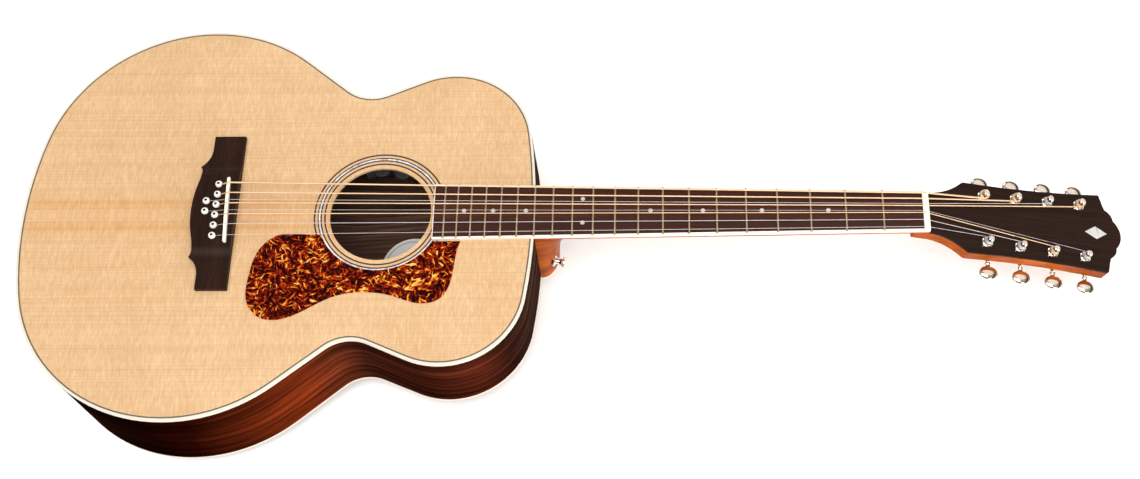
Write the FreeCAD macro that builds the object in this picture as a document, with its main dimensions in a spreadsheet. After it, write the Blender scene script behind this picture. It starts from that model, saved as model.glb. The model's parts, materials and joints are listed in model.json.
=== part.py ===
import FreeCAD, Part
import math
import os
from FreeCAD import Matrix, Placement, Rotation, Vector

# An eight-string baritone flat-top guitar, lying on its arched back.
# X runs along the neck towards the headstock, Y towards the bass side, Z out of the soundboard.
# Most pieces are drawn in one of three datums, each with Z up through the playing side:
#   BODY  its origin is on the soundboard's face, where the neck meets the body (the 14th fret)
#   NECK  its origin is on the playing surface above that point, tipped back by the neck angle
#   HEAD  its origin is under the front of the nut, tipped back further by the head angle

SIZES = {
    # body outline, outside of the sides
    "body_length": 518.4,
    "lower_bout_back": 347.1,
    "lower_bout_out": 50.0,
    "lower_bout_radius": 165.8,
    "waist_back": 173.0,
    "waist_out": 173.9,
    "waist_radius": 39.7,
    "upper_bout_back": 87.5,
    "upper_bout_out": 78.4,
    "upper_bout_radius": 81.7,
    # body depth, shells and edges
    "neck_end_depth": 93.3,
    "depth_growth": 0.0634,
    "arch_rise": 14.0,
    "arch_margin": 12.0,
    "board_plate": 3.0,
    "back_plate": 3.5,
    "rib_thickness": 2.2,
    "binding_height": 4.6,
    "purfling_width": 1.5,
    "lining_width": 6.3,
    "lining_height": 14.0,
    "neck_block_length": 62.0,
    "tail_block_length": 38.0,
    "block_width": 84.0,
    # soundhole and rosette
    "hole_back": 154.2,
    "hole_radius": 50.8,
    "rosette_depth": 1.2,
    # bridge
    "bridge_height": 9.0,
    "bridge_wing": 5.0,
    "bridge_half_width": 84.8,
    "bridge_front": 298.7,
    "bridge_aside": 1.5,
    "saddle_back": 306.7,
    "saddle_top": 13.0,
    "saddle_thickness": 3.2,
    "saddle_length": 72.0,
    "saddle_slant": 3.0,
    "pin_row_back": 318.3,
    "octave_pin_back": 328.8,
    "pin_pitch": 11.4,
    "pin_head": 3.6,
    "pin_shank": 2.6,
    "bridge_plate_thickness": 2.5,
    # strings and neck
    "scale_length": 686.0,
    "neck_angle": 0.6,
    "board_height": 4.6,
    "board_radius": 406.0,
    "board_overhang": 100.6,
    "board_joint_width": 56.8,
    "board_nut_width": 43.4,
    "board_edge_strip": 2.0,
    "board_end_strip": 0.8,
    "fret_width": 2.0,
    "fret_crown": 1.1,
    "marker_radius": 2.2,
    "nut_length": 5.8,
    "nut_rise": 1.7,
    "shaft_depth_nut": 15.5,
    "shaft_depth_joint": 18.0,
    "heel_bottom": 98.8,
    "heel_half_width": 26.8,
    "heel_length": 18.0,
    "heel_cap_thickness": 1.8,
    "truss_rod_drop": 14.0,
    "truss_rod_radius": 3.0,
    # headstock and tuners
    "head_angle": 15.0,
    "head_drop": 3.6,
    "head_length": 213.3,
    "veneer_thickness": 2.2,
    "head_wood": 12.3,
    "first_post": 66.0,
    "post_pitch": 34.8,
    "first_post_out": 25.0,
    "post_spread": 1.17,
    "post_radius": 3.05,
    "post_height": 10.5,
    "running_gap": 0.1,
    "clear_gap": 0.3,
    "bushing_radius": 4.5,
    "flange_radius": 5.6,
    "flange_height": 2.0,
    "gear_box_height": 11.5,
    "worm_offset": 8.0,
    "worm_drop": 19.6,
    "stem_radius": 2.3,
    "button_length": 20.0,
    "button_width": 15.4,
    "button_thickness": 8.0,
    # fittings
    "jack_bore": 3.2,
    "jack_barrel": 5.9,
    "jack_stand_out": 12.0,
    "jack_drop": 60.0,
    "wheel_radius": 9.4,
    "wheel_ring": 54.0,
    "wheel_thickness": 3.4,
}

DOC = FreeCAD.newDocument("baritone_guitar")
SHEET = DOC.addObject("Spreadsheet::Sheet", "Sizes")
for row, (alias, number) in enumerate(SIZES.items(), start=1):
    SHEET.set(f"A{row}", alias)
    SHEET.set(f"B{row}", str(number))
    SHEET.setAlias(f"B{row}", alias)
DOC.recompute()

NODES = {}
SIDES = {"bass": 1, "treble": -1}
DEEP = 150  # deeper than the body, for stock that is trimmed to the back
BELOW = -60  # how far the trimming slabs reach below the back's edge
HEEL_ROOT = -14  # how far the heel's stock reaches back into the body's room


def size(alias):
    """A driving dimension, read from the sheet."""
    return float(SHEET.get(alias))


def node(label, thing):
    """Names a finished sub-part, which is then written to its own file."""
    thing.Label = label
    NODES[label] = thing
    return thing


# ---- helpers that add objects to the document -------------------------------------------------


def bind(thing, values):
    """Sets properties: text is an expression on the sheet, anything else a plain value."""
    for name, value in values.items():
        if isinstance(value, str):
            thing.setExpression(name, value)
        else:
            setattr(thing, name, value)
    return thing


def shift(x=0.0, y=0.0, z=0.0):
    return Placement(Vector(x, y, z), Rotation())


def facing(datum, point, direction):
    """A placement at a point of a datum, with its Z axis along a direction of that datum."""
    return datum.multiply(Placement(Vector(*point), Rotation(Vector(0, 0, 1), Vector(*direction))))


def start_body(label, place):
    body = DOC.addObject("PartDesign::Body", label)
    body.Placement = place
    return body


def add_sketch(body, plane, curves, start=0.0):
    """A sketch of the given curves on one of the body's own origin planes."""
    sketch = body.newObject("Sketcher::SketchObject", body.Name + "_sketch")
    origin_plane = [part for part in body.Origin.OriginFeatures if part.Role == plane][0]
    sketch.AttachmentSupport = [(origin_plane, "")]
    sketch.MapMode = "FlatFace"
    sketch.addGeometry(curves)
    return bind(sketch, {"AttachmentOffset.Base.z": str(start)})


def padded(label, place, plane, curves, length, start=0.0, symmetric=False):
    """A body made by one pad. Length and start are expressions or numbers."""
    body = start_body(label, place)
    pad = body.newObject("PartDesign::Pad", label + "_pad")
    pad.Profile = add_sketch(body, plane, curves, start)
    if symmetric:
        pad.SideType = "Symmetric"
    bind(pad, {"Length": str(length)})
    return body


def turned(label, place, corners):
    """A body turned about its own Z axis from a closed outline of (radius, height) corners."""
    body = start_body(label, place)
    lathe = body.newObject("PartDesign::Revolution", label + "_turning")
    sketch = add_sketch(body, "XZ_Plane", polygon(corners))
    lathe.Profile = sketch
    lathe.ReferenceAxis = (sketch, ["V_Axis"])
    lathe.Angle = 360
    return body


def lofted(label, place, plane, sections):
    """A body lofted through (start, curves) sections, all parallel to one origin plane."""
    body = start_body(label, place)
    loft = body.newObject("PartDesign::AdditiveLoft", label + "_loft")
    sketches = [add_sketch(body, plane, curves, start) for start, curves in sections]
    loft.Profile = sketches[0]
    loft.Sections = sketches[1:]
    return body


def box(label, datum, corner, length, width, height):
    block = DOC.addObject("Part::Box", label)
    block.Placement = datum.multiply(shift(*corner))
    return bind(block, {"Length": str(length), "Width": str(width), "Height": str(height)})


def rod(label, datum, point, direction, radius, height):
    cylinder = DOC.addObject("Part::Cylinder", label)
    cylinder.Placement = facing(datum, point, direction)
    return bind(cylinder, {"Radius": str(radius), "Height": str(height)})


def group(label, *pieces):
    compound = DOC.addObject("Part::Compound", label)
    compound.Links = list(pieces)
    return compound


def fused(label, *pieces):
    union = DOC.addObject("Part::MultiFuse", label)
    union.Shapes = list(pieces)
    return union


def cut(label, base, *tools):
    difference = DOC.addObject("Part::Cut", label)
    difference.Base = base
    difference.Tool = tools[0] if len(tools) == 1 else group(label + "_tools", *tools)
    return difference


def common(label, base, tool):
    overlap = DOC.addObject("Part::Common", label)
    overlap.Base = base
    overlap.Tool = tool
    return overlap


def shaped(label, place, shape):
    """A sub-part whose shape is worked out by formula."""
    feature = DOC.addObject("Part::Feature", label)
    feature.Shape = shape
    feature.Placement = place
    return feature


# ---- helpers that draw curves -----------------------------------------------------------------


def line(start, end):
    return Part.LineSegment(Vector(*start), Vector(*end))


def arc(start, middle, end):
    return Part.Arc(Vector(*start), Vector(*middle), Vector(*end))


def circle(x, y, radius):
    return Part.Circle(Vector(x, y, 0), Vector(0, 0, 1), radius)


def polygon(corners):
    return [line(a, b) for a, b in zip(corners, corners[1:] + corners[:1])]


def spline(points):
    curve = Part.BSplineCurve()
    curve.interpolate([Vector(*point) for point in points])
    return curve


def arc_about(centre, start, end):
    """The shorter arc about a centre."""
    out = (start - centre).normalize() + (end - centre).normalize()
    middle = centre + out.normalize() * (start - centre).Length
    return Part.Arc(start, middle, end)


def half_oval(across, along, start=0.0, steps=10):
    """Curves of a D: a half ellipse from -across to +across, bulging by along, closed at start."""
    turns = [math.pi * (step / steps - 0.5) for step in range(steps + 1)]
    bulge = [(along * math.cos(turn), across * math.sin(turn)) for turn in turns]
    curves = [spline(bulge)]
    if start == 0.0:
        return curves + [line((0, across), (0, -across))]
    curves.append(line((0, across), (start, across)))
    curves.append(line((start, across), (start, -across)))
    curves.append(line((start, -across), (0, -across)))
    return curves


# ---- the body's outline -----------------------------------------------------------------------


def end_circle(end, back, out, radius):
    """Centre and radius of the end curve: centred on the middle line and tangent to a bout."""
    reach = abs(back - end)
    large = (radius**2 - reach**2 - out**2) / (2 * (radius - reach))
    side = 1 if back > end else -1
    return Vector(end + side * large, 0), large


def touch_direction(bout, bout_radius, waist, waist_radius, side):
    """Direction from a bout's centre to where the straight run to the waist curve starts."""
    apart = waist - bout
    along = apart.normalize()
    distance = (waist - bout).Length
    share = (bout_radius + waist_radius) / distance
    across = Vector(-along.y, along.x) * side
    return along * share + across * math.sqrt(1 - share**2)


def half_outline(inset):
    """The bass half of the outline, from the tail to the neck, moved inwards by inset."""
    lower = Vector(-size("lower_bout_back"), size("lower_bout_out"))
    waist = Vector(-size("waist_back"), size("waist_out"))
    upper = Vector(-size("upper_bout_back"), size("upper_bout_out"))
    lower_radius = size("lower_bout_radius")
    waist_radius = size("waist_radius")
    upper_radius = size("upper_bout_radius")
    tail = -size("body_length")
    tail_centre, tail_radius = end_circle(tail, lower.x, lower.y, lower_radius)
    neck_centre, neck_radius = end_circle(0.0, upper.x, upper.y, upper_radius)
    from_lower = touch_direction(lower, lower_radius, waist, waist_radius, 1)
    from_upper = touch_direction(upper, upper_radius, waist, waist_radius, -1)
    tail_out = (lower - tail_centre).normalize()
    neck_out = (upper - neck_centre).normalize()
    tail_end = Vector(tail + inset, 0)
    tail_touch = tail_centre + tail_out * (tail_radius - inset)
    lower_touch = lower + from_lower * (lower_radius - inset)
    waist_in = waist - from_lower * (waist_radius + inset)
    waist_out = waist - from_upper * (waist_radius + inset)
    upper_touch = upper + from_upper * (upper_radius - inset)
    neck_touch = neck_centre + neck_out * (neck_radius - inset)
    neck_end = Vector(-inset, 0)
    return [
        arc_about(tail_centre, tail_end, tail_touch),
        arc_about(lower, tail_touch, lower_touch),
        Part.LineSegment(lower_touch, waist_in),
        arc_about(waist, waist_in, waist_out),
        Part.LineSegment(waist_out, upper_touch),
        arc_about(upper, upper_touch, neck_touch),
        arc_about(neck_centre, neck_touch, neck_end),
    ]


def flipped(curves):
    """The same curves on the treble side."""
    mirror = Matrix()
    mirror.A22 = -1
    copies = []
    for curve in curves:
        ends = [mirror.multVec(curve.StartPoint), mirror.multVec(curve.EndPoint)]
        if isinstance(curve, Part.LineSegment):
            copies.append(Part.LineSegment(*ends))
        else:
            first, last = curve.FirstParameter, curve.LastParameter
            middle = mirror.multVec(curve.value((first + last) / 2))
            copies.append(Part.Arc(ends[0], middle, ends[1]))
    return copies


def outline(inset):
    half = half_outline(inset)
    return half + flipped(half)


def half_ring(outer, inner, side):
    """Curves of half a wall between two insets, on the bass or treble side."""
    curves = half_outline(outer) + half_outline(inner)
    curves.append(line((-size("body_length") + outer, 0), (-size("body_length") + inner, 0)))
    curves.append(line((-outer, 0), (-inner, 0)))
    return curves if side == "bass" else flipped(curves)


# ---- the arched back, which sets how high the soundboard lies ---------------------------------


def dish(level):
    """The hollow of the pressed back, as a solid that hangs below a flat rim at this height."""
    rim = size("back_plate") + size("arch_margin")
    middle = Vector(-size("body_length") / 2, 0, 0)
    rings = []
    for share in (1.0, 0.86, 0.7, 0.52, 0.32, 0.1):
        ring = Part.Wire([curve.toShape() for curve in outline(rim)])
        ring.scale(share, middle)
        ring.translate(Vector(0, 0, level - size("arch_rise") * (1 - share**2) ** 1.2))
        rings.append(ring)
    return Part.makeLoft(rings, True, False)


def sloped(shape):
    """Shears a flat-rimmed shape to the back's slope and drops it to the back's depth."""
    slope = Matrix()
    slope.A31 = size("depth_growth")
    slope.A34 = -size("neck_end_depth") - size("back_plate")
    return shape.transformGeometry(slope)


def back_shape():
    edge = Part.Wire([curve.toShape() for curve in outline(size("rib_thickness"))])
    plate = Part.Face(edge).extrude(Vector(0, 0, size("back_plate")))
    plate = plate.fuse(dish(0.0)).cut(dish(size("back_plate")))
    return sloped(plate)


BACK_SHAPE = back_shape()
TOP_HEIGHT = -BACK_SHAPE.optimalBoundingBox().ZMin
NUT_AWAY = size("scale_length") * (1 - 2 ** (-14 / 12))


def datums():
    """The three datums, with the whole guitar centred on X = 0."""
    neck = Placement(Vector(0, 0, size("board_height")), Rotation(Vector(0, 1, 0), size("neck_angle")))
    under_nut = Vector(NUT_AWAY, 0, -size("head_drop"))
    head = neck.multiply(Placement(under_nut, Rotation(Vector(0, 1, 0), size("head_angle"))))
    tip = head.multVec(Vector(size("head_length"), 0, 0)).x
    tail = -size("body_length") - size("jack_stand_out")
    body = shift(-(tip + tail) / 2, 0, TOP_HEIGHT)
    return body, body.multiply(neck), body.multiply(head)


BODY, NECK, HEAD = datums()


def back_line(x, lift=0.0):
    """A point of the side view, this far above the plane where sides and back meet."""
    return (x, lift - size("neck_end_depth") + size("depth_growth") * x)


def side_band(label, upper, lower):
    """A full-width slab between two sloped lines of the side view."""
    far, near = -size("body_length") - 60, 60
    corners = [back_line(far, upper), back_line(near, upper)]
    corners += [back_line(near, lower), back_line(far, lower)]
    width = 3 * size("lower_bout_radius")
    return padded(label, BODY, "XZ_Plane", polygon(corners), width, symmetric=True)


# ---- body shells and edges --------------------------------------------------------------------


def make_soundboard(rosette, openings):
    inset = size("rib_thickness") + size("purfling_width")
    plate = padded("soundboard_blank", BODY, "XY_Plane", outline(inset),
                   "Sizes.board_plate", "-Sizes.board_plate")
    hole = rod("hole", BODY, (-size("hole_back"), 0, -20), (0, 0, 1), "Sizes.hole_radius", 40)
    return node("soundboard", cut("soundboard", plate, hole, rosette, *openings))


def make_rosette():
    """Three inlaid rings: a narrow line, a pearl ring and an outer line."""
    radii = (54.3, 56.8, 58.8, 63.0, 64.8, 67.3)
    curves = [circle(-size("hole_back"), 0, radius) for radius in radii]
    rings = padded("rosette", BODY, "XY_Plane", curves, "Sizes.rosette_depth", "-Sizes.rosette_depth")
    return node("rosette", rings)


def make_ribs(*holes):
    """The two bent sides, joined at the tail and under the neck."""
    below = side_band("below_sides", 0.0, BELOW)
    for side in SIDES:
        curves = half_ring(0.0, size("rib_thickness"), side)
        wall = padded(f"{side}_wall", BODY, "XY_Plane", curves, f"{DEEP} - Sizes.binding_height", -DEEP)
        node(f"rib_{side}", cut(f"rib_{side}", wall, below, *holes))


def make_bindings():
    """The plastic edge of the soundboard with its purfling, and the edge of the back."""
    inner = size("rib_thickness")
    ring = outline(0.0) + outline(inner)
    strip = padded("top_binding", BODY, "XY_Plane", ring, "Sizes.binding_height", "-Sizes.binding_height")
    node("top_binding", strip)
    line_ring = outline(inner) + outline(inner + size("purfling_width"))
    thin = padded("top_purfling", BODY, "XY_Plane", line_ring, "Sizes.board_plate", "-Sizes.board_plate")
    node("top_purfling", thin)
    wall = padded("back_edge_wall", BODY, "XY_Plane", ring, DEEP, -DEEP)
    band = side_band("back_edge_band", 0.0, -size("back_plate"))
    node("back_binding", common("back_binding", wall, band))


def make_linings(blocks):
    """Strips that widen the glued joints of the sides to the soundboard and to the back."""
    inner = size("rib_thickness")
    ring = outline(inner) + outline(inner + size("lining_width"))
    start = "-Sizes.lining_height - Sizes.board_plate"
    top = padded("top_lining_ring", BODY, "XY_Plane", ring, "Sizes.lining_height", start)
    wall = padded("back_lining_wall", BODY, "XY_Plane", ring, DEEP, -DEEP)
    band = side_band("back_lining_band", size("lining_height"), 0.0)
    both = group("lining_rings", top, common("back_lining_ring", wall, band))
    node("linings", cut("linings", both, *blocks))


def make_blocks(jack_hole, truss_rod):
    """The mahogany blocks under the neck joint and at the tail. Returns their uncut stock."""
    inside = padded("inside_of_sides", BODY, "XY_Plane", outline(size("rib_thickness")), DEEP, -DEEP)
    below = side_band("below_blocks", 0.0, BELOW)
    half = size("block_width") / 2
    stock = 100
    under = -DEEP - size("board_plate")
    neck_corner = (-size("neck_block_length"), -half, under)
    tail_corner = (size("tail_block_length") - size("body_length") - stock, -half, under)
    neck_stock = box("neck_stock", BODY, neck_corner, stock, "Sizes.block_width", DEEP)
    tail_stock = box("tail_stock", BODY, tail_corner, stock, "Sizes.block_width", DEEP)
    neck_fitted = common("neck_block_fitted", neck_stock, inside)
    tail_fitted = common("tail_block_fitted", tail_stock, inside)
    node("neck_block", cut("neck_block", neck_fitted, below, truss_rod))
    node("tail_block", cut("tail_block", tail_fitted, below, jack_hole))
    return neck_stock, tail_stock


# ---- braces -----------------------------------------------------------------------------------


def brace(label, centre, length, width, height, turn):
    """A straight brace under the soundboard, with its ends planed down to a third."""
    under = Vector(*centre, -size("board_plate"))
    place = BODY.multiply(Placement(under, Rotation(Vector(0, 0, 1), turn)))
    half = length / 2
    taper = min(30.0, half / 2)
    corners = [(-half, 0), (half, 0), (half, -height / 3), (half - taper, -height)]
    corners += [(taper - half, -height), (-half, -height / 3)]
    return padded(label, place, "XZ_Plane", polygon(corners), width, symmetric=True)


def make_x_braces():
    """The two crossing braces, halved into each other behind the soundhole."""
    crossing, spread, width, height = (-243.0, 0.0), 49.0, 8.0, 15.0
    ahead, behind = 160.0, 240.0
    length = ahead + behind
    halves = []
    for side, sign in SIDES.items():
        along = Vector(math.cos(math.radians(spread)), sign * math.sin(math.radians(spread)))
        middle = Vector(*crossing) + along * ((ahead - behind) / 2)
        halves.append(brace(f"x_{side}", (middle.x, middle.y), length, width, height, sign * spread))
    reach = 40.0
    notches = []
    for sign, top in ((-1, -size("board_plate")), (1, -size("board_plate") - height / 2)):
        turn = Rotation(Vector(0, 0, 1), sign * spread)
        place = BODY.multiply(Placement(Vector(*crossing, top - height / 2), turn))
        notches.append(box("x_notch", place, (-reach / 2, -width / 2, 0), reach, width, height / 2))
    legs = [cut("x_leg", leg, notch) for leg, notch in zip(halves, notches)]
    return node("x_braces", group("x_braces", *legs))


def make_top_braces():
    """Tone bars, finger braces and the brace beside the soundhole."""
    bars = [
        brace("tone_bar", (-398.0, -12.0), 215.0, 7.0, 12.0, 106.0),
        brace("tone_bar", (-446.0, -22.0), 180.0, 7.0, 11.0, 106.0),
        brace("soundhole_brace", (-137.0, -60.0), 66.0, 6.0, 7.0, 0.0),
    ]
    for sign in SIDES.values():
        bars.append(brace("finger_brace", (-292.0, sign * 140.0), 84.0, 6.0, 9.0, 90.0))
        bars.append(brace("finger_brace", (-350.0, sign * 168.0), 50.0, 6.0, 9.0, 90.0))
    return node("top_braces", group("top_braces", *bars))


def make_transverse_brace():
    """The brace ahead of the soundhole, notched where the truss rod key passes."""
    bar = brace("transverse_bar", (-88.0, 0.0), 288.0, 10.0, 18.0, 90.0)
    notch = box("key_notch", BODY, (-100.0, -7.0, -16.0), 24.0, 14.0, 16.0)
    return node("transverse_brace", cut("transverse_brace", bar, notch))


def make_bridge_plate(openings):
    corners = [(-290.0, 40.0), (-350.0, 92.0), (-350.0, -92.0), (-290.0, -40.0)]
    thick, start = "Sizes.bridge_plate_thickness", "-Sizes.board_plate - Sizes.bridge_plate_thickness"
    plate = padded("bridge_plate_blank", BODY, "XY_Plane", polygon(corners), thick, start)
    return node("bridge_plate", cut("bridge_plate", plate, *openings))


# ---- bridge, saddle, pins and pickguard -------------------------------------------------------


def pin_places():
    """Where the bridge pins stand: a row of six, and two octave pins behind it."""
    pitch = size("pin_pitch")
    row = [(-size("pin_row_back"), 0.9 + pitch * (place - 2.5)) for place in range(6)]
    return row + [(-size("octave_pin_back"), y) for y in (10.8, -0.6)]


def pin_holes():
    holes = []
    for x, y in pin_places():
        holes.append(rod("pin_hole", BODY, (x, y, -20), (0, 0, 1), "Sizes.pin_shank", 40))
    return holes


def make_bridge_pins():
    """Plastic pins, each a tapered shank under a domed head."""
    head, shank, top = size("pin_head"), size("pin_shank"), size("bridge_height")
    corners = [(0, -14), (shank - 0.3, -14), (shank, top), (head, top), (head, top + 1.2)]
    corners += [(head * 0.86, top + 2.3), (head * 0.5, top + 3.0), (0, top + 3.2)]
    pins = []
    for x, y in pin_places():
        pins.append(turned("pin", BODY.multiply(shift(x, y, 0)), corners))
    return node("bridge_pins", group("bridge_pins", *pins))


def bridge_outline():
    """Straight front edge, square wings, a cusp each side and a belly behind the pins."""
    front, half = -size("bridge_front"), size("bridge_half_width")
    wing_back, wing_in = front - 31.5, 70.0
    cusp = (front - 42.0, 50.0)
    edge = [cusp]
    for ahead, out in ((2.2, 46.0), (3.0, 41.0), (2.2, 34.0), (-0.2, 24.0), (-2.0, 12.0)):
        edge.append((cusp[0] + ahead, out))
    belly = edge + [(cusp[0] - 2.6, 0)] + [(x, -y) for x, y in reversed(edge)]
    side = [
        line((front, half), (wing_back, half)),
        line((wing_back, half), (wing_back, wing_in)),
        arc((wing_back, wing_in), (front - 34.4, 58.5), cusp),
    ]
    return side + flipped(side) + [spline(belly), line((front, half), (front, -half))]


def saddle_place(height):
    """A place in the middle of the slanted saddle, at this height over the soundboard."""
    slant = Rotation(Vector(0, 0, 1), size("saddle_slant"))
    return BODY.multiply(Placement(Vector(-size("saddle_back"), 0.5, height), slant))


def saddle_block(label, bottom, height):
    """A plate with rounded ends, the plan of the saddle and of its slot."""
    half, end = size("saddle_thickness") / 2, size("saddle_length") / 2
    straight = end - half
    curves = [
        line((half, -straight), (half, straight)),
        arc((half, straight), (0, end), (-half, straight)),
        line((-half, straight), (-half, -straight)),
        arc((-half, -straight), (0, -end), (half, -straight)),
    ]
    return padded(label, saddle_place(bottom), "XY_Plane", curves, height)


def make_bridge(openings):
    """The rosewood bridge: a full-height middle that scoops down to thin wings."""
    middle = BODY.multiply(shift(0, size("bridge_aside"), 0))
    blank = padded("bridge_blank", middle, "XY_Plane", bridge_outline(), "Sizes.bridge_height")
    high, low = size("bridge_height"), size("bridge_wing")
    half, crest, foot = size("bridge_half_width") + 5, 40.0, 54.0
    scoops = []
    for side, sign in SIDES.items():
        curves = [
            arc((sign * crest, high), (sign * (crest + 5.0), low + 1.2), (sign * foot, low)),
            line((sign * foot, low), (sign * half, low)),
            line((sign * half, low), (sign * half, high + 2)),
            line((sign * half, high + 2), (sign * crest, high + 2)),
            line((sign * crest, high + 2), (sign * crest, high)),
        ]
        scoops.append(padded(f"{side}_scoop", middle, "YZ_Plane", curves, 90, -370))
    slot = saddle_block("saddle_slot", 1.6, 10)
    return node("bridge", cut("bridge", blank, slot, *scoops, *openings))


def make_saddle(strings):
    """A bone saddle on the pickup strip, its top curved like the fingerboard."""
    block = saddle_block("saddle_block", 3.0, 12)
    lower = size("saddle_top") - size("board_radius")
    crown = rod("saddle_crown", BODY, (-330, 0, lower), (1, 0, 0), "Sizes.board_radius", 40)
    node("saddle", cut("saddle", common("saddle_blank", block, crown), *strings))
    node("pickup_strip", saddle_block("pickup_strip", 1.6, 1.4))


def make_pickguard():
    """A thin plate that follows the rosette, then rounds out below the strings."""
    centre, ring = -size("hole_back"), 62.0
    start, corner = (-211.5, -23.6), (-100.6, -31.2)
    edge = [(-247.6, -22), (-264.6, -30), (-274.6, -45), (-279.0, -66), (-279.0, -92), (-269.6, -108)]
    edge += [(-250, -114), (-224.6, -106), (-194.6, -90), (-164.6, -85), (-134.6, -89.5)]
    edge += [(-107.6, -97), (-89, -91.5), (-80.6, -77), (-77, -53), (-72.6, -31.2)]
    lowest = (centre, -ring)
    curves = [line(start, edge[0]), spline(edge), line(edge[-1], corner), arc(corner, lowest, start)]
    return node("pickguard", padded("pickguard", BODY, "XY_Plane", curves, 1.0))


# ---- fingerboard ------------------------------------------------------------------------------


def board_half_width(x):
    """Half the width over the edge strips, at x from the joint."""
    joint, nut = size("board_joint_width"), size("board_nut_width")
    return (joint - (joint - nut) * x / NUT_AWAY) / 2


def board_stock(label, overhang, strip):
    """A tapered, cambered block over the neck and soundboard, before its underside is cut."""
    near, far = -overhang, NUT_AWAY
    corners = [(near, board_half_width(near) - strip), (far, board_half_width(far) - strip)]
    corners += [(far, strip - board_half_width(far)), (near, strip - board_half_width(near))]
    plan = padded(label + "_plan", NECK, "XY_Plane", polygon(corners), 14, -12)
    axis_start = (-200, 0, -size("board_radius"))
    camber = rod(label + "_camber", NECK, axis_start, (1, 0, 0), "Sizes.board_radius", 800)
    return common(label, plan, camber)


def board_underside():
    """All below the fingerboard: the neck's flat face, then the soundboard."""
    low = -size("board_height")
    tilt = math.tan(math.radians(size("neck_angle")))
    corners = [(450, low), (0, low), (-200, low - 200 * tilt), (-200, -40), (450, -40)]
    return padded("board_underside", NECK, "XZ_Plane", polygon(corners), 100, symmetric=True)


def bent(label, x, curves, reach):
    """A body bent about the camber's axis from a section across it, out to this reach."""
    wire = start_body(label, NECK.multiply(shift(x, 0, -size("board_radius"))))
    bend = wire.newObject("PartDesign::Revolution", label + "_bend")
    sketch = add_sketch(wire, "XZ_Plane", curves)
    bend.Profile = sketch
    bend.ReferenceAxis = (sketch, ["H_Axis"])
    bend.Midplane = True
    bend.Angle = 2 * math.degrees(math.asin(reach / size("board_radius")))
    return wire


def make_frets():
    """Twenty fret wires: a rounded crown over the whole width, and a tang between the edge strips."""
    camber, half, crown = size("board_radius"), size("fret_width") / 2, size("fret_crown")
    dome = [arc((-half, camber), (0, camber + crown), (half, camber))]
    dome.append(line((half, camber), (-half, camber)))
    low, high = camber - 1.8, camber + 0.2
    blade = polygon([(0.3, high), (0.3, low), (-0.3, low), (-0.3, high)])
    wires = []
    for number in range(1, 21):
        x = fret_x(number)
        edge = board_half_width(x)
        top = bent("fret_crown", x, dome, edge - 0.4)
        tang = bent("fret_tang", x, blade, edge - size("board_edge_strip") - 0.05)
        wires.append(fused("fret", top, tang))
    return node("frets", group("frets", *wires))


def fret_x(number):
    return NUT_AWAY - size("scale_length") * (1 - 2 ** (-number / 12))


def marker_plugs():
    """Round plugs between the frets; the twelfth place has two."""
    plugs = []
    for number in (3, 5, 7, 9, 12, 15, 17, 19):
        x = (fret_x(number - 1) + fret_x(number)) / 2
        for y in (-13.0, 13.0) if number == 12 else (0.0,):
            plugs.append(rod("marker_plug", NECK, (x, y, -2), (0, 0, 1), "Sizes.marker_radius", 5))
    return group("marker_plugs", *plugs)


def make_fingerboard(frets):
    underside = board_underside()
    whole = cut("whole_board", board_stock("whole_board_stock", size("board_overhang"), 0.0), underside)
    inner_overhang = size("board_overhang") - size("board_end_strip")
    dark = cut("dark_board", board_stock("dark_stock", inner_overhang, size("board_edge_strip")), underside)
    node("fingerboard_binding", cut("fingerboard_binding", whole, dark))
    plugs = marker_plugs()
    node("position_markers", common("position_markers", plugs, dark))
    node("fingerboard", cut("fingerboard", dark, plugs, frets))


def make_nut(strings):
    """A bone nut that closes the end of the fingerboard, with a slot under each string."""
    wide = size("board_nut_width")
    corner = (NUT_AWAY, -wide / 2, -size("board_height"))
    block = box("nut_block", NECK, corner, "Sizes.nut_length", wide, 12)
    lower = size("nut_rise") - size("board_radius")
    crown = rod("nut_crown", NECK, (NUT_AWAY - 10, 0, lower), (1, 0, 0), "Sizes.board_radius", 30)
    return node("nut", cut("nut", common("nut_blank", block, crown), *strings))


# ---- neck -------------------------------------------------------------------------------------


def head_outline():
    """Flared shoulders, long slightly hollow edges and a scalloped end."""
    tip = size("head_length")
    side = [
        line((-8, 21.7), (10, 22.2)),
        arc((10, 22.2), (28.6, 27.4), (43, 36.6)),
        arc((43, 36.6), (45.4, 38.0), (48.5, 38.3)),
        arc((48.5, 38.3), (119, 38.2), (tip - 20.0, 43.0)),
        line((tip - 20.0, 43.0), (tip - 18.6, 42.2)),
        arc((tip - 18.6, 42.2), (tip - 16.6, 34.0), (tip - 14.3, 26.5)),
        arc((tip - 14.3, 26.5), (tip - 8.6, 21.8), (tip - 6.6, 15.2)),
    ]
    lobe = arc((tip - 6.6, 15.2), (tip, 0), (tip - 6.6, -15.2))
    root = line((-8, 21.7), (-8, -21.7))
    return side + [lobe, root] + flipped(side)


def upright_oval(across, depth, top):
    """A D hanging from a flat top, for a section across the neck."""
    steps = 10
    turns = [math.pi * (step / steps + 1) for step in range(steps + 1)]
    bulge = [(across * math.cos(turn), top + depth * math.sin(turn)) for turn in turns]
    return [spline(bulge), line((across, top), (-across, top))]


def heel_end():
    return half_oval(size("heel_half_width"), size("heel_length"), HEEL_ROOT)


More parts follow.
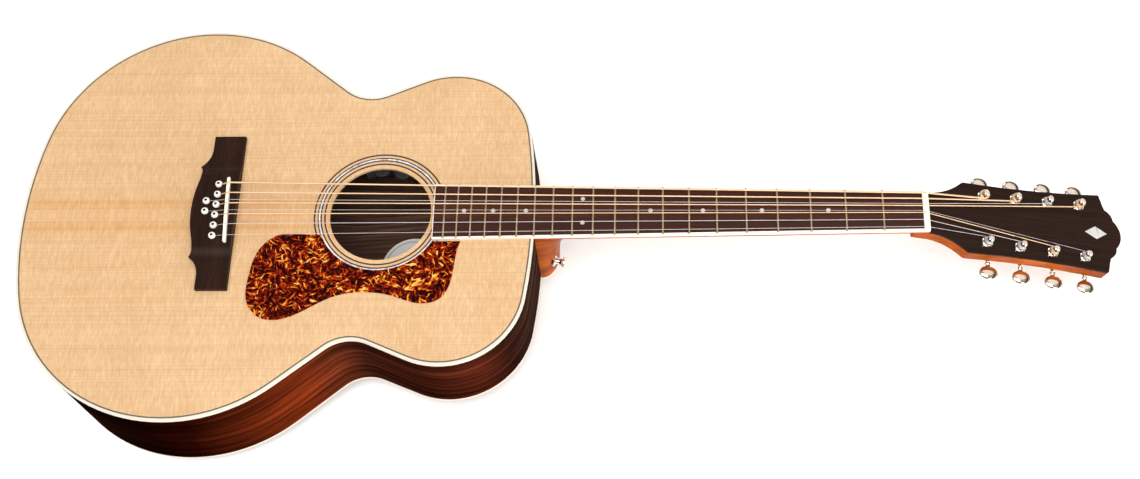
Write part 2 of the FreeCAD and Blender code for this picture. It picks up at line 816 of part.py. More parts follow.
def neck_blank():
    """Shaft, heel and headstock, before the joint and the holes are cut."""
    low = -size("board_height")
    joint, nut = size("board_joint_width") / 2, size("board_nut_width") / 2
    shaft_sections = [
        (-10, upright_oval(joint, size("shaft_depth_joint"), low)),
        (NUT_AWAY + 4, upright_oval(nut, size("shaft_depth_nut"), low)),
    ]
    shaft = lofted("shaft", NECK, "YZ_Plane", shaft_sections)
    throat_sections = [
        (NUT_AWAY - 4, upright_oval(nut, size("shaft_depth_nut"), low)),
        (NUT_AWAY + 58, upright_oval(17.0, 9.0, low - 18.5)),
    ]
    throat = lofted("throat", NECK, "YZ_Plane", throat_sections)
    heel_sections = [
        (-size("heel_bottom"), heel_end()),
        (-74, half_oval(26.2, 20.0, HEEL_ROOT)),
        (-46, half_oval(25.4, 24.5, HEEL_ROOT)),
        (-26, half_oval(24.6, 36.0, HEEL_ROOT)),
        (-12, half_oval(23.6, 66.0, HEEL_ROOT)),
    ]
    heel = lofted("heel", BODY, "XY_Plane", heel_sections)
    thick = "-Sizes.veneer_thickness - Sizes.head_wood"
    head = padded("head_blank", HEAD, "XY_Plane", head_outline(), "Sizes.head_wood", thick)
    return fused("neck_blank", shaft, throat, heel, head)


def make_neck(openings):
    """The one-piece mahogany neck, fitted against the curved shoulder of the body."""
    body_room = padded("body_room", BODY, "XY_Plane", outline(0.0), 260, -200)
    low = -size("board_height")
    over_shaft = box("over_shaft", NECK, (-120, -60, low), NUT_AWAY + size("nut_length") + 120, 120, 40)
    return node("neck", cut("neck", neck_blank(), fused("neck_room", body_room, over_shaft), *openings))


def make_veneer(openings):
    """The dark face of the headstock, which starts behind the nut."""
    thick = "Sizes.veneer_thickness"
    blank = padded("veneer_blank", HEAD, "XY_Plane", head_outline(), thick, "-" + thick)
    behind_nut = box("behind_nut", NECK, (NUT_AWAY - 20, -60, -40), size("nut_length") + 20, 120, 80)
    inlay_corners = [(174.0, 0.0), (186.0, 7.0), (198.0, 0.0), (186.0, -7.0)]
    inlay = padded("headstock_inlay", HEAD, "XY_Plane", polygon(inlay_corners), 0.8, -0.8)
    node("headstock_inlay", inlay)
    return node("headstock_veneer", cut("headstock_veneer", blank, behind_nut, inlay, *openings))


def make_truss_rod():
    """A steel rod below the fingerboard, through the neck block to its adjusting nut."""
    reach = NUT_AWAY - 12
    start = -size("neck_block_length") - 5
    drop = -size("truss_rod_drop")
    steel = rod("truss_rod", NECK, (start, 0, drop), (1, 0, 0), "Sizes.truss_rod_radius", reach - start)
    node("truss_rod", steel)
    return steel


def make_truss_nut():
    """A barrel nut with a hexagonal socket, turned by a key through the soundhole."""
    outer, bore = 4.0, size("truss_rod_radius") + size("running_gap")
    length, socket = 14.0, 6.0
    place = facing(NECK, (-size("neck_block_length") - 1.0, 0, -size("truss_rod_drop")), (-1, 0, 0))
    corners = [(bore, 0), (outer, 0), (outer, length), (0, length), (0, 6.0), (bore, 6.0)]
    barrel = turned("truss_barrel", place, corners)
    key = [(2.9 * math.cos(math.radians(a)), 2.9 * math.sin(math.radians(a))) for a in range(0, 360, 60)]
    hexagon = padded("truss_key_hole", place, "XY_Plane", polygon(key), socket + 1, length - socket)
    return node("truss_rod_nut", cut("truss_rod_nut", barrel, hexagon))


def make_heel_cap():
    thick, start = "Sizes.heel_cap_thickness", "-Sizes.heel_bottom - Sizes.heel_cap_thickness"
    plate = padded("heel_cap_blank", BODY, "XY_Plane", heel_end(), thick, start)
    body_room = padded("body_room_cap", BODY, "XY_Plane", outline(0.0), 260, -200)
    return node("heel_cap", cut("heel_cap", plate, body_room))


def make_strap_button():
    """A turned button with its screw, on the treble front of the heel."""
    corners = [(0, -13), (1.6, -11.5), (1.6, 0), (6.3, 0), (6.3, 1.2), (3.4, 2.8), (3.0, 6.0), (3.6, 8.6)]
    corners += [(6.2, 10.6), (6.2, 11.8), (5.4, 12.4), (0, 12.6)]
    turn = math.radians(-14.0)
    place = facing(BODY, (14.2, -18.3, -73.5), (math.cos(turn), math.sin(turn), 0))
    return node("strap_button", turned("strap_button", place, corners))


# ---- tuning machines --------------------------------------------------------------------------


def tuner_places():
    """Post positions on the headstock: four a side, counted from the nut."""
    places = []
    for sign in SIDES.values():
        for row in range(4):
            x = size("first_post") + row * size("post_pitch")
            y = sign * (size("first_post_out") + row * size("post_spread"))
            places.append((x, y, sign))
    return places


def gear_outline(teeth, tip, root):
    """Corners of a gear wheel with flat-topped teeth."""
    corners = []
    for step in range(4 * teeth):
        radius = tip if step % 4 < 2 else root
        turn = 2 * math.pi * (step + 0.5) / (4 * teeth)
        corners.append((radius * math.cos(turn), radius * math.sin(turn)))
    return corners


def make_posts():
    """String posts, each with the worm wheel that turns it."""
    radius, height = size("post_radius"), size("post_height")
    wheel = size("worm_offset") - 2.0 - size("clear_gap")
    bottom = -size("worm_drop") - 5.0
    waist = radius - 0.45
    corners = [(0, bottom), (radius, bottom), (radius, 2.4), (waist, 3.2), (waist, 6.6), (radius, 7.6)]
    corners += [(radius, height - 0.7), (radius - 0.7, height), (0, height)]
    for number, (x, y, _) in enumerate(tuner_places(), start=1):
        place = HEAD.multiply(shift(x, y, 0))
        turning = turned(f"post_turning_{number}", place, corners)
        teeth = polygon(gear_outline(18, wheel, wheel - 0.7))
        gear = padded(f"post_gear_{number}", place, "XY_Plane", teeth, 4, -size("worm_drop") - 2)
        hole = rod("string_hole", place, (0, -5, 5.0), (0, 1, 0), 0.9, 10)
        whole = fused(f"post_whole_{number}", turning, gear)
        node(f"tuner_post_{number}", cut(f"tuner_post_{number}", whole, hole))


def button_out(row):
    """How far a button's middle stands from the headstock's middle line."""
    return (49.0, 50.0, 51.5, 52.6)[row]


def make_knobs():
    """Buttons on their worm shafts."""
    stem, worm = size("stem_radius"), 2.0
    for number, (x, y, sign) in enumerate(tuner_places(), start=1):
        out = button_out((number - 1) % 4)
        place = facing(HEAD, (x + size("worm_offset"), y, -size("worm_drop")), (0, sign, 0))
        reach = out - abs(y)
        half_button = size("button_width") / 2
        corners = [(0, -5.5), (worm, -5.5), (worm, 5.0), (stem, 5.6), (stem, reach - half_button + 2)]
        corners += [(0, reach - half_button + 2)]
        shaft = turned(f"worm_shaft_{number}", place, corners)
        button = DOC.addObject("Part::Ellipsoid", f"button_{number}")
        button.Placement = HEAD.multiply(shift(x + size("worm_offset"), sign * out, -size("worm_drop")))
        bind(button, {"Radius1": "Sizes.button_thickness / 2", "Radius2": "Sizes.button_length / 2"})
        bind(button, {"Radius3": "Sizes.button_width / 2"})
        node(f"tuner_knob_{number}", fused(f"tuner_knob_{number}", shaft, button))


def make_gear_boxes():
    """Sealed gear boxes behind the headstock, each hollow around its wheel and worm."""
    wood = -size("veneer_thickness") - size("head_wood")
    deep, gap = size("gear_box_height"), size("running_gap")
    screw_corners = [(0, -1.7), (1.6, -1.5), (2.4, -0.4), (2.4, 0), (1.0, 0), (1.0, 8), (0, 9)]
    boxes, screws = [], []
    for x, y, sign in tuner_places():
        place = HEAD.multiply(shift(x, y, wood))
        worm_x, worm_z = size("worm_offset"), -size("worm_drop") - wood
        stock = box("gear_box_stock", place, (-8.0, -8.0, -deep), 20.0, 16.0, deep)
        ear = rod("gear_box_ear", place, (-9.6, -sign * 4.6, -2.2), (0, 0, 1), 3.6, 2.2)
        shell = fused("gear_box_shell", stock, ear)
        chamber = rod("wheel_chamber", place, (0, 0, 1.3 - deep), (0, 0, 1), worm_x - 2.0, deep - 2.6)
        post_way = rod("post_way", place, (0, 0, -deep / 2), (0, 0, 1), size("post_radius") + gap, deep)
        way_start = (worm_x, -sign * 6.2, worm_z)
        worm_way = rod("worm_way", place, way_start, (0, sign, 0), size("stem_radius") + gap, 20)
        screw = turned("gear_box_screw", place.multiply(shift(-10.2, -sign * 4.6, -2.2)), screw_corners)
        room = fused("gear_box_room", chamber, post_way, worm_way, screw)
        boxes.append(cut("gear_box", shell, room))
        screws.append(screw)
    node("tuner_housings", group("tuner_housings", *boxes))
    return node("tuner_screws", group("tuner_screws", *screws))


def make_bushings():
    """Flanged bushings that line the post holes."""
    bore = size("post_radius") + size("running_gap")
    outer, flange, high = size("bushing_radius"), size("flange_radius"), size("flange_height")
    wood = -size("veneer_thickness") - size("head_wood")
    corners = [(bore, wood), (outer, wood), (outer, 0), (flange, 0), (flange, high * 0.4)]
    corners += [(flange - 0.9, high * 0.7), (outer - 0.2, high), (bore, high)]
    sleeves = []
    for x, y, _ in tuner_places():
        sleeves.append(turned("bushing", HEAD.multiply(shift(x, y, 0)), corners))
    return node("tuner_bushings", group("tuner_bushings", *sleeves))


def post_holes():
    holes = []
    for x, y, _ in tuner_places():
        holes.append(rod("post_hole", HEAD, (x, y, -30), (0, 0, 1), "Sizes.bushing_radius", 40))
    return holes


# ---- strings ----------------------------------------------------------------------------------

# diameter, y at the saddle, y at the nut, tuner number, pin number
WOUND = [(1.75, 29.6, 18.3, 1, 5), (1.4, 18.1, 12.0, 2, 4)]
WOUND += [(1.15, 6.4, 4.2, 4, 3), (0.9, -5.7, -3.3, 7, 2)]
PLAIN = [(0.5, 10.3, 6.4, 3, 6), (0.36, -1.2, -1.2, 8, 7)]
PLAIN += [(0.6, -16.4, -10.8, 6, 1), (0.43, -28.2, -18.3, 5, 0)]


def string_shape(diameter, saddle_y, nut_y, tuner, pin):
    """A string from its pin, over saddle and nut, to the near side of its post."""
    lift = diameter / 2 + 0.06
    camber = 2 * size("board_radius")
    pin_x, pin_y = pin_places()[pin]
    post_x, post_y, sign = tuner_places()[tuner - 1]
    inner = sign * (size("post_radius") + diameter / 2 + size("clear_gap"))
    saddle_x = -size("saddle_back") - saddle_y * math.tan(math.radians(size("saddle_slant")))
    saddle_z = size("saddle_top") - saddle_y**2 / camber + lift
    points = [
        BODY.multVec(Vector(pin_x + size("pin_head") + lift, pin_y, size("bridge_height") + lift)),
        BODY.multVec(Vector(saddle_x, saddle_y, saddle_z)),
        NECK.multVec(Vector(NUT_AWAY + 2.0, nut_y, size("nut_rise") - nut_y**2 / camber)),
        HEAD.multVec(Vector(post_x, post_y - inner, 5.0)),
    ]
    path = Part.makePolygon(points)
    profile = Part.Wire(Part.makeCircle(diameter / 2, points[0], points[1] - points[0]))
    sweep = Part.BRepOffsetAPI.MakePipeShell(path)
    sweep.setTransitionMode(1)
    sweep.add(profile)
    sweep.build()
    sweep.makeSolid()
    return sweep.shape()


def make_strings():
    courses = []
    for label, strings in (("wound_strings", WOUND), ("plain_strings", PLAIN)):
        solids = [string_shape(*string) for string in strings]
        courses.append(node(label, shaped(label, Placement(), Part.makeCompound(solids))))
    return courses


# ---- electrics and label ----------------------------------------------------------------------


def make_jack():
    """The end-pin output socket: a strap collar outside and a threaded barrel through the block."""
    stand, barrel, bore = size("jack_stand_out"), size("jack_barrel"), size("jack_bore")
    depth = 44.0
    corners = [(0, -depth - 4), (barrel, -depth - 4), (barrel, 0), (8.6, 0), (8.6, 1.6), (6.4, 3.6)]
    corners += [(6.0, stand - 5.0), (8.4, stand - 2.6), (8.4, stand - 0.8), (7.6, stand), (bore, stand)]
    corners += [(bore, stand - 31), (0, stand - 31)]
    place = facing(BODY, (-size("body_length"), 0, -size("jack_drop")), (-1, 0, 0))
    return node("output_jack", turned("output_jack", place, corners))


def wheel_centres():
    """The two control wheels sit under the bass edge of the soundhole."""
    ring = size("wheel_ring")
    turns = {"volume_wheel": 93.8, "tone_wheel": 70.5}
    centres = {}
    for label, turn in turns.items():
        angle = math.radians(turn)
        centres[label] = (ring * math.cos(angle) - size("hole_back"), ring * math.sin(angle))
    return centres


def make_controls():
    """Housing under the soundboard with two thumb wheels that reach into the soundhole."""
    inner, outer, low = size("hole_radius") + 0.2, 68.0, 16.0
    start, end = math.radians(54), math.radians(112)
    middle = (start + end) / 2

    def at(radius, turn):
        return (radius * math.cos(turn) - size("hole_back"), radius * math.sin(turn))

    curves = [
        arc(at(inner, start), at(inner, middle), at(inner, end)),
        line(at(inner, end), at(outer, end)),
        arc(at(outer, end), at(outer, middle), at(outer, start)),
        line(at(outer, start), at(inner, start)),
    ]
    block = padded("control_block", BODY, "XY_Plane", curves, low - size("board_plate"), -low)
    thick, pin = size("wheel_thickness"), 1.5
    top = -size("board_plate") - 2.2
    gap = size("clear_gap")
    slots = []
    for label, (x, y) in wheel_centres().items():
        place = BODY.multiply(shift(x, y, 0))
        room = [(pin, top - thick - gap), (size("wheel_radius") + gap, top - thick - gap)]
        room += [(size("wheel_radius") + gap, top + gap), (pin, top + gap)]
        slots.append(turned(label + "_slot", place, room))
        rim = size("wheel_radius")
        bore = pin + size("running_gap")
        corners = [(bore, top - thick), (rim - 0.5, top - thick), (rim, top - thick + 0.5), (rim, top - 0.5)]
        corners += [(rim - 0.5, top), (bore, top)]
        node(label, turned(label, place, corners))
    return node("preamp_housing", cut("preamp_housing", block, *slots))


def make_battery():
    """A nine volt block held against the neck block."""
    x = -size("neck_block_length") - 17.5
    case = box("battery_case", BODY, (x, 14.0, -88.0), 17.5, 26.5, 46.4)
    posts = [rod("battery_post", BODY, (x + 8.7, y, -41.6), (0, 0, 1), 2.9, 2.1) for y in (20.9, 33.6)]
    return node("battery", fused("battery", case, *posts))


def lead(points, radius):
    """A round lead along straight runs joined by tangent arcs."""
    places = [Vector(*point) for point in points]
    edges, cursor = [], places[0]
    for before, corner, after in zip(places, places[1:], places[2:]):
        back = (before - corner).normalize()
        ahead = (after - corner).normalize()
        turn = math.pi - back.getAngle(ahead)
        run = min((before - corner).Length, (after - corner).Length)
        bend = 0.45 * run / math.tan(turn / 2)
        trim = 0.45 * run
        first, last = corner + back * trim, corner + ahead * trim
        inward = (back + ahead).normalize()
        centre_away = math.hypot(trim, bend)
        middle = corner + inward * (centre_away - bend)
        edges += [Part.makeLine(cursor, first), Part.Arc(first, middle, last).toShape()]
        cursor = last
    edges.append(Part.makeLine(cursor, places[-1]))
    path = Part.Wire(edges)
    profile = Part.Wire(Part.makeCircle(radius, places[0], places[1] - places[0]))
    return path.makePipeShell([profile], True, False)


def make_wiring():
    """Leads from the control housing to the socket, the pickup strip and the battery."""
    socket = [(48.5 - size("body_length"), 0, -60), (-452, 4, -60), (-432, 24, -48), (-420, 60, -28)]
    socket += [(-400, 104, -21.5), (-352, 112, -21), (-300, 104, -21), (-252, 100, -21), (-212, 92, -21)]
    socket += [(-184, 76, -22.5), (-170, 64.5, -17.2)]
    strip = [(-292, -28, -21.5), (-262, -4, -23), (-226, 34, -22), (-198, 62, -23), (-176, 62, -17.0)]
    cell = [(-71, 27, -39), (-78, 30, -31), (-92, 40, -26), (-106, 52, -22), (-119, 55, -17.1)]
    leads = [lead(socket, 1.1), lead(strip, 0.8), lead(cell, 1.0)]
    return node("wiring", shaped("wiring", BODY, Part.makeCompound(leads)))


def make_label():
    """A blank round paper label, glued to the inside of the back."""
    paper, radius, middle = 0.25, 33.0, (-140.0, -8.0)
    column = Part.makeCylinder(radius, 200, Vector(*middle, -200))
    plug = sloped(dish(size("back_plate"))).common(column)
    above = plug.copy()
    above.translate(Vector(0, 0, paper))
    return node("label", shaped("label", BODY, plug.cut(above)))


# ---- assembly ---------------------------------------------------------------------------------


def make_guitar():
    node("back", shaped("back", BODY, BACK_SHAPE))
    inside = (60 - size("body_length"), 0, -size("jack_drop"))
    jack_hole = rod("jack_hole", BODY, inside, (-1, 0, 0), "Sizes.jack_barrel", 100)
    truss_rod = make_truss_rod()
    holes = pin_holes()
    make_soundboard(make_rosette(), holes)
    make_ribs(jack_hole, truss_rod)
    make_bindings()
    make_linings(make_blocks(jack_hole, truss_rod))
    make_x_braces()
    make_top_braces()
    make_transverse_brace()
    make_bridge_plate(holes)
    make_bridge(holes)
    make_bridge_pins()
    strings = make_strings()
    make_saddle(strings)
    make_pickguard()
    make_fingerboard(make_frets())
    make_nut(strings)
    strap_button = make_strap_button()
    screws = make_gear_boxes()
    posts = post_holes()
    make_neck([truss_rod, strap_button, screws, *posts])
    make_veneer(posts)
    make_truss_nut()
    make_heel_cap()
    make_posts()
    make_knobs()
    make_bushings()
    make_jack()
    make_controls()
    make_battery()
    make_wiring()
    make_label()
    DOC.recompute()


def check_document():
    """Stops if any object failed or any sub-part's shape isn't whole."""
    failed = [thing.Label for thing in DOC.Objects if "Invalid" in thing.State or "Error" in thing.State]
    if failed:
        raise RuntimeError("not built: " + ", ".join(failed))
    for label, thing in NODES.items():
        shape = thing.Shape
        if shape.isNull() or not shape.isValid() or not shape.Solids:
            failed.append(label)
    if failed:
        raise RuntimeError("no valid solid: " + ", ".join(failed))


def write_parts():
    os.makedirs("parts", exist_ok=True)
    for label, thing in NODES.items():
        thing.Shape.exportStep(f"parts/{label}.step")


make_guitar()
check_document()
write_parts()
print(f"{len(NODES)} sub-parts, soundboard face at Z = {TOP_HEIGHT:.2f}")
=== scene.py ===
import bpy
import json
import math
from mathutils import Matrix, Vector


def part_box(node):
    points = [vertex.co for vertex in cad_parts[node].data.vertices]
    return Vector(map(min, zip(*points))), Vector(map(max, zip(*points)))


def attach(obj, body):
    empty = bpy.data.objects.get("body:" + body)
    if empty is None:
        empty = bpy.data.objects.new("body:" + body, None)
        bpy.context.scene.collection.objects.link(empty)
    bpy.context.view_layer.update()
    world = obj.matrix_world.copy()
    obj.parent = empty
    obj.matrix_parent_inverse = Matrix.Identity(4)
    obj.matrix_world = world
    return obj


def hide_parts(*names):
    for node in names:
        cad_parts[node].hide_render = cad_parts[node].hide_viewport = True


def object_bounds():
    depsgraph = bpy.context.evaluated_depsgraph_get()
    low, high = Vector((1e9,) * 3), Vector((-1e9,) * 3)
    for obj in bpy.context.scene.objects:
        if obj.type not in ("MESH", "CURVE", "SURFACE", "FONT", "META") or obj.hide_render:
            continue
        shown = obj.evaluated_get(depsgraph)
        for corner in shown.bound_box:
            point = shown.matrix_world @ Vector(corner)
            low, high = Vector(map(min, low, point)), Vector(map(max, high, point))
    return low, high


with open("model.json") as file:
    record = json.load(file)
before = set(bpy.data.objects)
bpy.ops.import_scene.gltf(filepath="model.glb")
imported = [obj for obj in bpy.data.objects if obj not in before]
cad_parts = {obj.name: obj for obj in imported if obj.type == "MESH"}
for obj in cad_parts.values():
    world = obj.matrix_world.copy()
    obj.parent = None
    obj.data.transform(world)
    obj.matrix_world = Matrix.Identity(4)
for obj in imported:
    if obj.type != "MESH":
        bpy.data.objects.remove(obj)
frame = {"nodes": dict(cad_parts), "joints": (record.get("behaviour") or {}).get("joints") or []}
CAD_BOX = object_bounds()
NODES = frame["nodes"]
JOINTS = {joint["name"]: joint for joint in frame["joints"]}
MM = 0.001


# ---- node materials ---------------------------------------------------------------------------


class Look:
    """A node material, with short calls for the textures used here."""

    def __init__(self, name, rough=0.4, metal=0.0, coat=0.0, coat_rough=0.05, specular=0.5):
        self.material = bpy.data.materials.new(name)
        self.material.use_nodes = True
        self.tree = self.material.node_tree
        self.shader = self.tree.nodes["Principled BSDF"]
        self.shader.inputs["Roughness"].default_value = rough
        self.shader.inputs["Metallic"].default_value = metal
        self.shader.inputs["Coat Weight"].default_value = coat
        self.shader.inputs["Coat Roughness"].default_value = coat_rough
        self.shader.inputs["Specular IOR Level"].default_value = specular
        self.place = self.add("ShaderNodeTexCoord").outputs["Object"]

    def add(self, kind, **settings):
        node = self.tree.nodes.new(kind)
        for name, value in settings.items():
            setattr(node, name, value)
        return node

    def feed(self, socket, value):
        """Links a socket to this one, or sets its constant value."""
        if isinstance(value, bpy.types.NodeSocket):
            self.tree.links.new(value, socket)
        else:
            socket.default_value = value

    def calc(self, kind, first, second=0.0, third=0.0):
        """One arithmetic step on numbers or sockets."""
        node = self.add("ShaderNodeMath", operation=kind)
        for socket, value in zip(node.inputs, (first, second, third)):
            self.feed(socket, value)
        return node.outputs[0]

    def parts(self, vector):
        node = self.add("ShaderNodeSeparateXYZ")
        self.feed(node.inputs[0], vector)
        return node.outputs

    def join(self, x, y, z):
        node = self.add("ShaderNodeCombineXYZ")
        for socket, value in zip(node.inputs, (x, y, z)):
            self.feed(socket, value)
        return node.outputs[0]

    def mapped(self, vector, scale=(1, 1, 1), move=(0, 0, 0), turn=(0, 0, 0)):
        node = self.add("ShaderNodeMapping")
        self.feed(node.inputs["Vector"], vector)
        node.inputs["Location"].default_value = move
        node.inputs["Rotation"].default_value = turn
        node.inputs["Scale"].default_value = scale
        return node.outputs[0]

    def noise(self, vector, detail=2.0, rough=0.5, warp=0.0, scale=1.0):
        node = self.add("ShaderNodeTexNoise")
        self.feed(node.inputs["Vector"], vector)
        node.inputs["Scale"].default_value = scale
        node.inputs["Detail"].default_value = detail
        node.inputs["Roughness"].default_value = rough
        node.inputs["Distortion"].default_value = warp
        return node.outputs["Fac"]

    def cells(self, vector):
        """A cell texture with a random colour in each cell."""
        node = self.add("ShaderNodeTexVoronoi")
        self.feed(node.inputs["Vector"], vector)
        node.inputs["Scale"].default_value = 1.0
        return node.outputs["Color"]

    def ramp(self, value, stops, steps=False):
        """Colours at stops along a number, blended or in steps."""
        node = self.add("ShaderNodeValToRGB")
        self.feed(node.inputs[0], value)
        band = node.color_ramp
        band.interpolation = "CONSTANT" if steps else "LINEAR"
        while len(band.elements) < len(stops):
            band.elements.new(0.5)
        for element, (spot, colour) in zip(band.elements, stops):
            element.position = spot
            element.color = (*colour, 1) if len(colour) == 3 else colour
        return node.outputs[0]

    def grey(self, value, low, high, from_low=0.0, from_high=1.0):
        """A number moved from one range to another."""
        node = self.add("ShaderNodeMapRange")
        for socket, number in zip(node.inputs[:5], (value, from_low, from_high, low, high)):
            self.feed(socket, number)
        return node.outputs[0]

    def mix(self, share, first, second, blend="MIX"):
        node = self.add("ShaderNodeMix", data_type="RGBA", blend_type=blend)
        self.feed(node.inputs[0], share)
        self.feed(node.inputs[6], first)
        self.feed(node.inputs[7], second)
        return node.outputs[2]

    def colour(self, value):
        self.feed(self.shader.inputs["Base Color"], value)

    def rough(self, value):
        self.feed(self.shader.inputs["Roughness"], value)

    def bump(self, height, depth):
        node = self.add("ShaderNodeBump")
        node.inputs["Strength"].default_value = 1.0
        node.inputs["Distance"].default_value = depth
        self.feed(node.inputs["Height"], height)
        self.feed(self.shader.inputs["Normal"], node.outputs[0])


def matched(look):
    """Coordinates of a bookmatched plate: the same on both sides of the middle seam."""
    x, y, z = look.parts(look.place)
    return look.join(x, look.calc("ABSOLUTE", y), z)


def spruce(name, gloss=True):
    """Pale golden softwood: close straight grain, cross silk and an amber band each side of the seam."""
    look = Look(name, 0.45, coat=0.04 if gloss else 0.0, coat_rough=0.2, specular=0.12)
    flat = matched(look)
    bent = look.noise(look.mapped(flat, (2.2, 7, 1)), 2)
    x, y, z = look.parts(flat)
    wavy = look.calc("MULTIPLY_ADD", bent, 0.006, y)
    lines = look.join(x, wavy, z)
    grain = look.noise(look.mapped(lines, (1.2, 820, 5)), 3, 0.6)
    broad = look.noise(look.mapped(lines, (1.6, 11, 5)), 2, 0.5)
    silk = look.noise(look.mapped(flat, (540, 105, 5)), 3, 0.66, 0.35)
    drift = look.noise(look.mapped(flat, (14, 9, 5)), 2, 0.5, 0.5)
    tone = look.ramp(grain, [
        (0.36, (0.604, 0.388, 0.211)), (0.5, (0.638, 0.425, 0.239)), (0.64, (0.664, 0.452, 0.260))])
    warm = look.ramp(broad, [(0.3, (0.98, 0.95, 0.915)), (0.55, (1, 1, 1))])
    cross = look.ramp(silk, [
        (0.32, (0.90, 0.86, 0.80)), (0.5, (0.97, 0.96, 0.95)), (0.68, (1.07, 1.12, 1.18))])
    cloud = look.ramp(drift, [(0.3, (0.94, 0.92, 0.885)), (0.7, (1.01, 1.02, 1.03))])
    seam = look.ramp(look.grey(wavy, 0.0, 1.0, 0.0, 0.04), [
        (0.0, (0.975, 0.94, 0.89)), (0.2, (0.99, 0.965, 0.93)), (0.34, (0.94, 0.85, 0.73)),
        (0.5, (0.965, 0.905, 0.82)), (0.68, (1, 1, 1))])
    for layer in (warm, cross, cloud, seam):
        tone = look.mix(1.0, tone, layer, "MULTIPLY")
    look.colour(tone)
    look.rough(look.grey(silk, 0.36, 0.5))
    look.bump(grain, 0.00005)
    return look.material


DEEP_BROWN = (0.016, 0.0055, 0.0038)
MID_BROWN = (0.064, 0.0165, 0.0095)
RED_BROWN = (0.150, 0.038, 0.017)


def tinted(tone, figure, tint):
    """A rosewood tone drawn towards the middle brown as the figure weakens, then tinted."""
    drawn = [middle + (part - middle) * figure for part, middle in zip(tone, MID_BROWN)]
    return tuple(part * share for part, share in zip(drawn, tint))


def rosewood(name, scale, tint=(1, 1, 1), coat=0.05, specular=0.15, bare=False, painted_side_light=False, figure=1.0):
    """Dark streaked hardwood with open pores. Scale is how fast each axis of the grain runs.

    Bare leaves its upward faces unfinished, figure is how strong its streaks are, and the painted light
    switch paints light and shade by place along the sides: painted shade at the tail, a painted red
    highlight at the waist and painted grey light by the neck."""
    look = Look(name, 0.38, coat=coat, coat_rough=0.06, specular=specular)
    flat = matched(look)
    wave = look.noise(look.mapped(flat, (5, 5, 8)), 2)
    x, y, z = look.parts(flat)
    shift = look.calc("MULTIPLY", wave, 0.02)
    lines = look.join(x, look.calc("ADD", y, shift), look.calc("ADD", z, shift))
    streak = look.noise(look.mapped(lines, scale), 6, 0.66, 0.3)
    fine = look.noise(look.mapped(lines, tuple(axis * 6 for axis in scale)), 4, 0.68)
    pores = look.noise(look.mapped(flat, tuple(axis * (22 if axis > 20 else 14) for axis in scale)), 2, 0.5)
    deep, brown, red = [tinted(tone, figure, tint) for tone in (DEEP_BROWN, MID_BROWN, RED_BROWN)]
    tone = look.ramp(streak, [(0.32, deep), (0.52, brown), (0.72, red)])
    low, high = 0.85 - 0.5 * figure, 0.85 + 0.6 * figure
    shade = look.ramp(fine, [
        (0.34, (low, low, low)), (0.5, (0.85, 0.85, 0.85)), (0.66, (high, high, high * 0.95))])
    specks = look.ramp(pores, [(0.28, (0.35, 0.33, 0.32)), (0.4, (1, 1, 1))])
    both = look.mix(1.0, tone, shade, "MULTIPLY")
    finish = look.mix(1.0, both, specks, "MULTIPLY")
    # Painted light and shade: a multiplier by place along the sides, with painted shade at the tail, a
    # painted red highlight at the waist and painted grey light by the neck.
    if painted_side_light:
        light_band_wobble = look.noise(look.mapped(flat, (7, 3, 30)), 3, 0.6)
        painted_light_level = look.calc("MULTIPLY_ADD", light_band_wobble, 0.12, look.grey(x, -0.06, 0.94, -0.52, 0.0))
        finish = look.mix(1.0, finish, look.ramp(painted_light_level, [
            (0.02, (0.5, 0.9, 1.3)), (0.104, (0.22, 0.5, 0.85)), (0.16, (0.14, 0.26, 0.45)),
            (0.22, (0.11, 0.12, 0.22)), (0.30, (0.26, 0.23, 0.34)), (0.39, (1.05, 1.15, 1.05)),
            (0.507, (2.9, 3.1, 2.6)), (0.565, (2.0, 3.0, 3.8)), (0.62, (0.75, 1.3, 2.2)),
            (0.74, (0.6, 0.9, 1.4)), (0.85, (1.3, 1.8, 2.7)), (0.90, (0.45, 1.0, 2.0)),
            (0.96, (0.8, 3.3, 7.6))]), "MULTIPLY")
    if bare:
        inner = look.parts(look.add("ShaderNodeTexCoord").outputs["Normal"])[2]
        plain = look.ramp(streak, [(0.3, (0.050, 0.025, 0.017)), (0.7, (0.150, 0.080, 0.056))])
        raw = look.mix(1.0, plain, shade, "MULTIPLY")
        finish = look.mix(look.calc("GREATER_THAN", inner, 0.4), finish, raw)
    look.colour(finish)
    look.rough(look.grey(pores, 0.5, 0.3))
    look.bump(pores, 0.00004)
    return look.material


def mahogany(name, gloss=True):
    """Orange-brown neck wood with short dark pores along the neck."""
    look = Look(name, 0.36, coat=0.02 if gloss else 0.0, coat_rough=0.08, specular=0.04)
    figure = look.noise(look.mapped(look.place, (7, 60, 60)), 4, 0.6, 0.5)
    ribbon = look.noise(look.mapped(look.place, (14, 12, 12)), 2, 0.5, 0.8)
    pores = look.noise(look.mapped(look.place, (150, 1900, 1900)), 2)
    tone = look.ramp(figure, [
        (0.32, (0.21, 0.038, 0.004)), (0.52, (0.46, 0.096, 0.008)), (0.72, (0.67, 0.185, 0.024))])
    light = look.ramp(ribbon, [(0.3, (0.68, 0.64, 0.6)), (0.7, (1, 1, 1))])
    specks = look.ramp(pores, [(0.3, (0.5, 0.42, 0.38)), (0.42, (1, 1, 1))])
    both = look.mix(1.0, tone, light, "MULTIPLY")
    look.colour(look.mix(1.0, both, specks, "MULTIPLY"))
    look.rough(look.grey(ribbon, 0.32, 0.46))
    look.bump(pores, 0.00003)
    return look.material


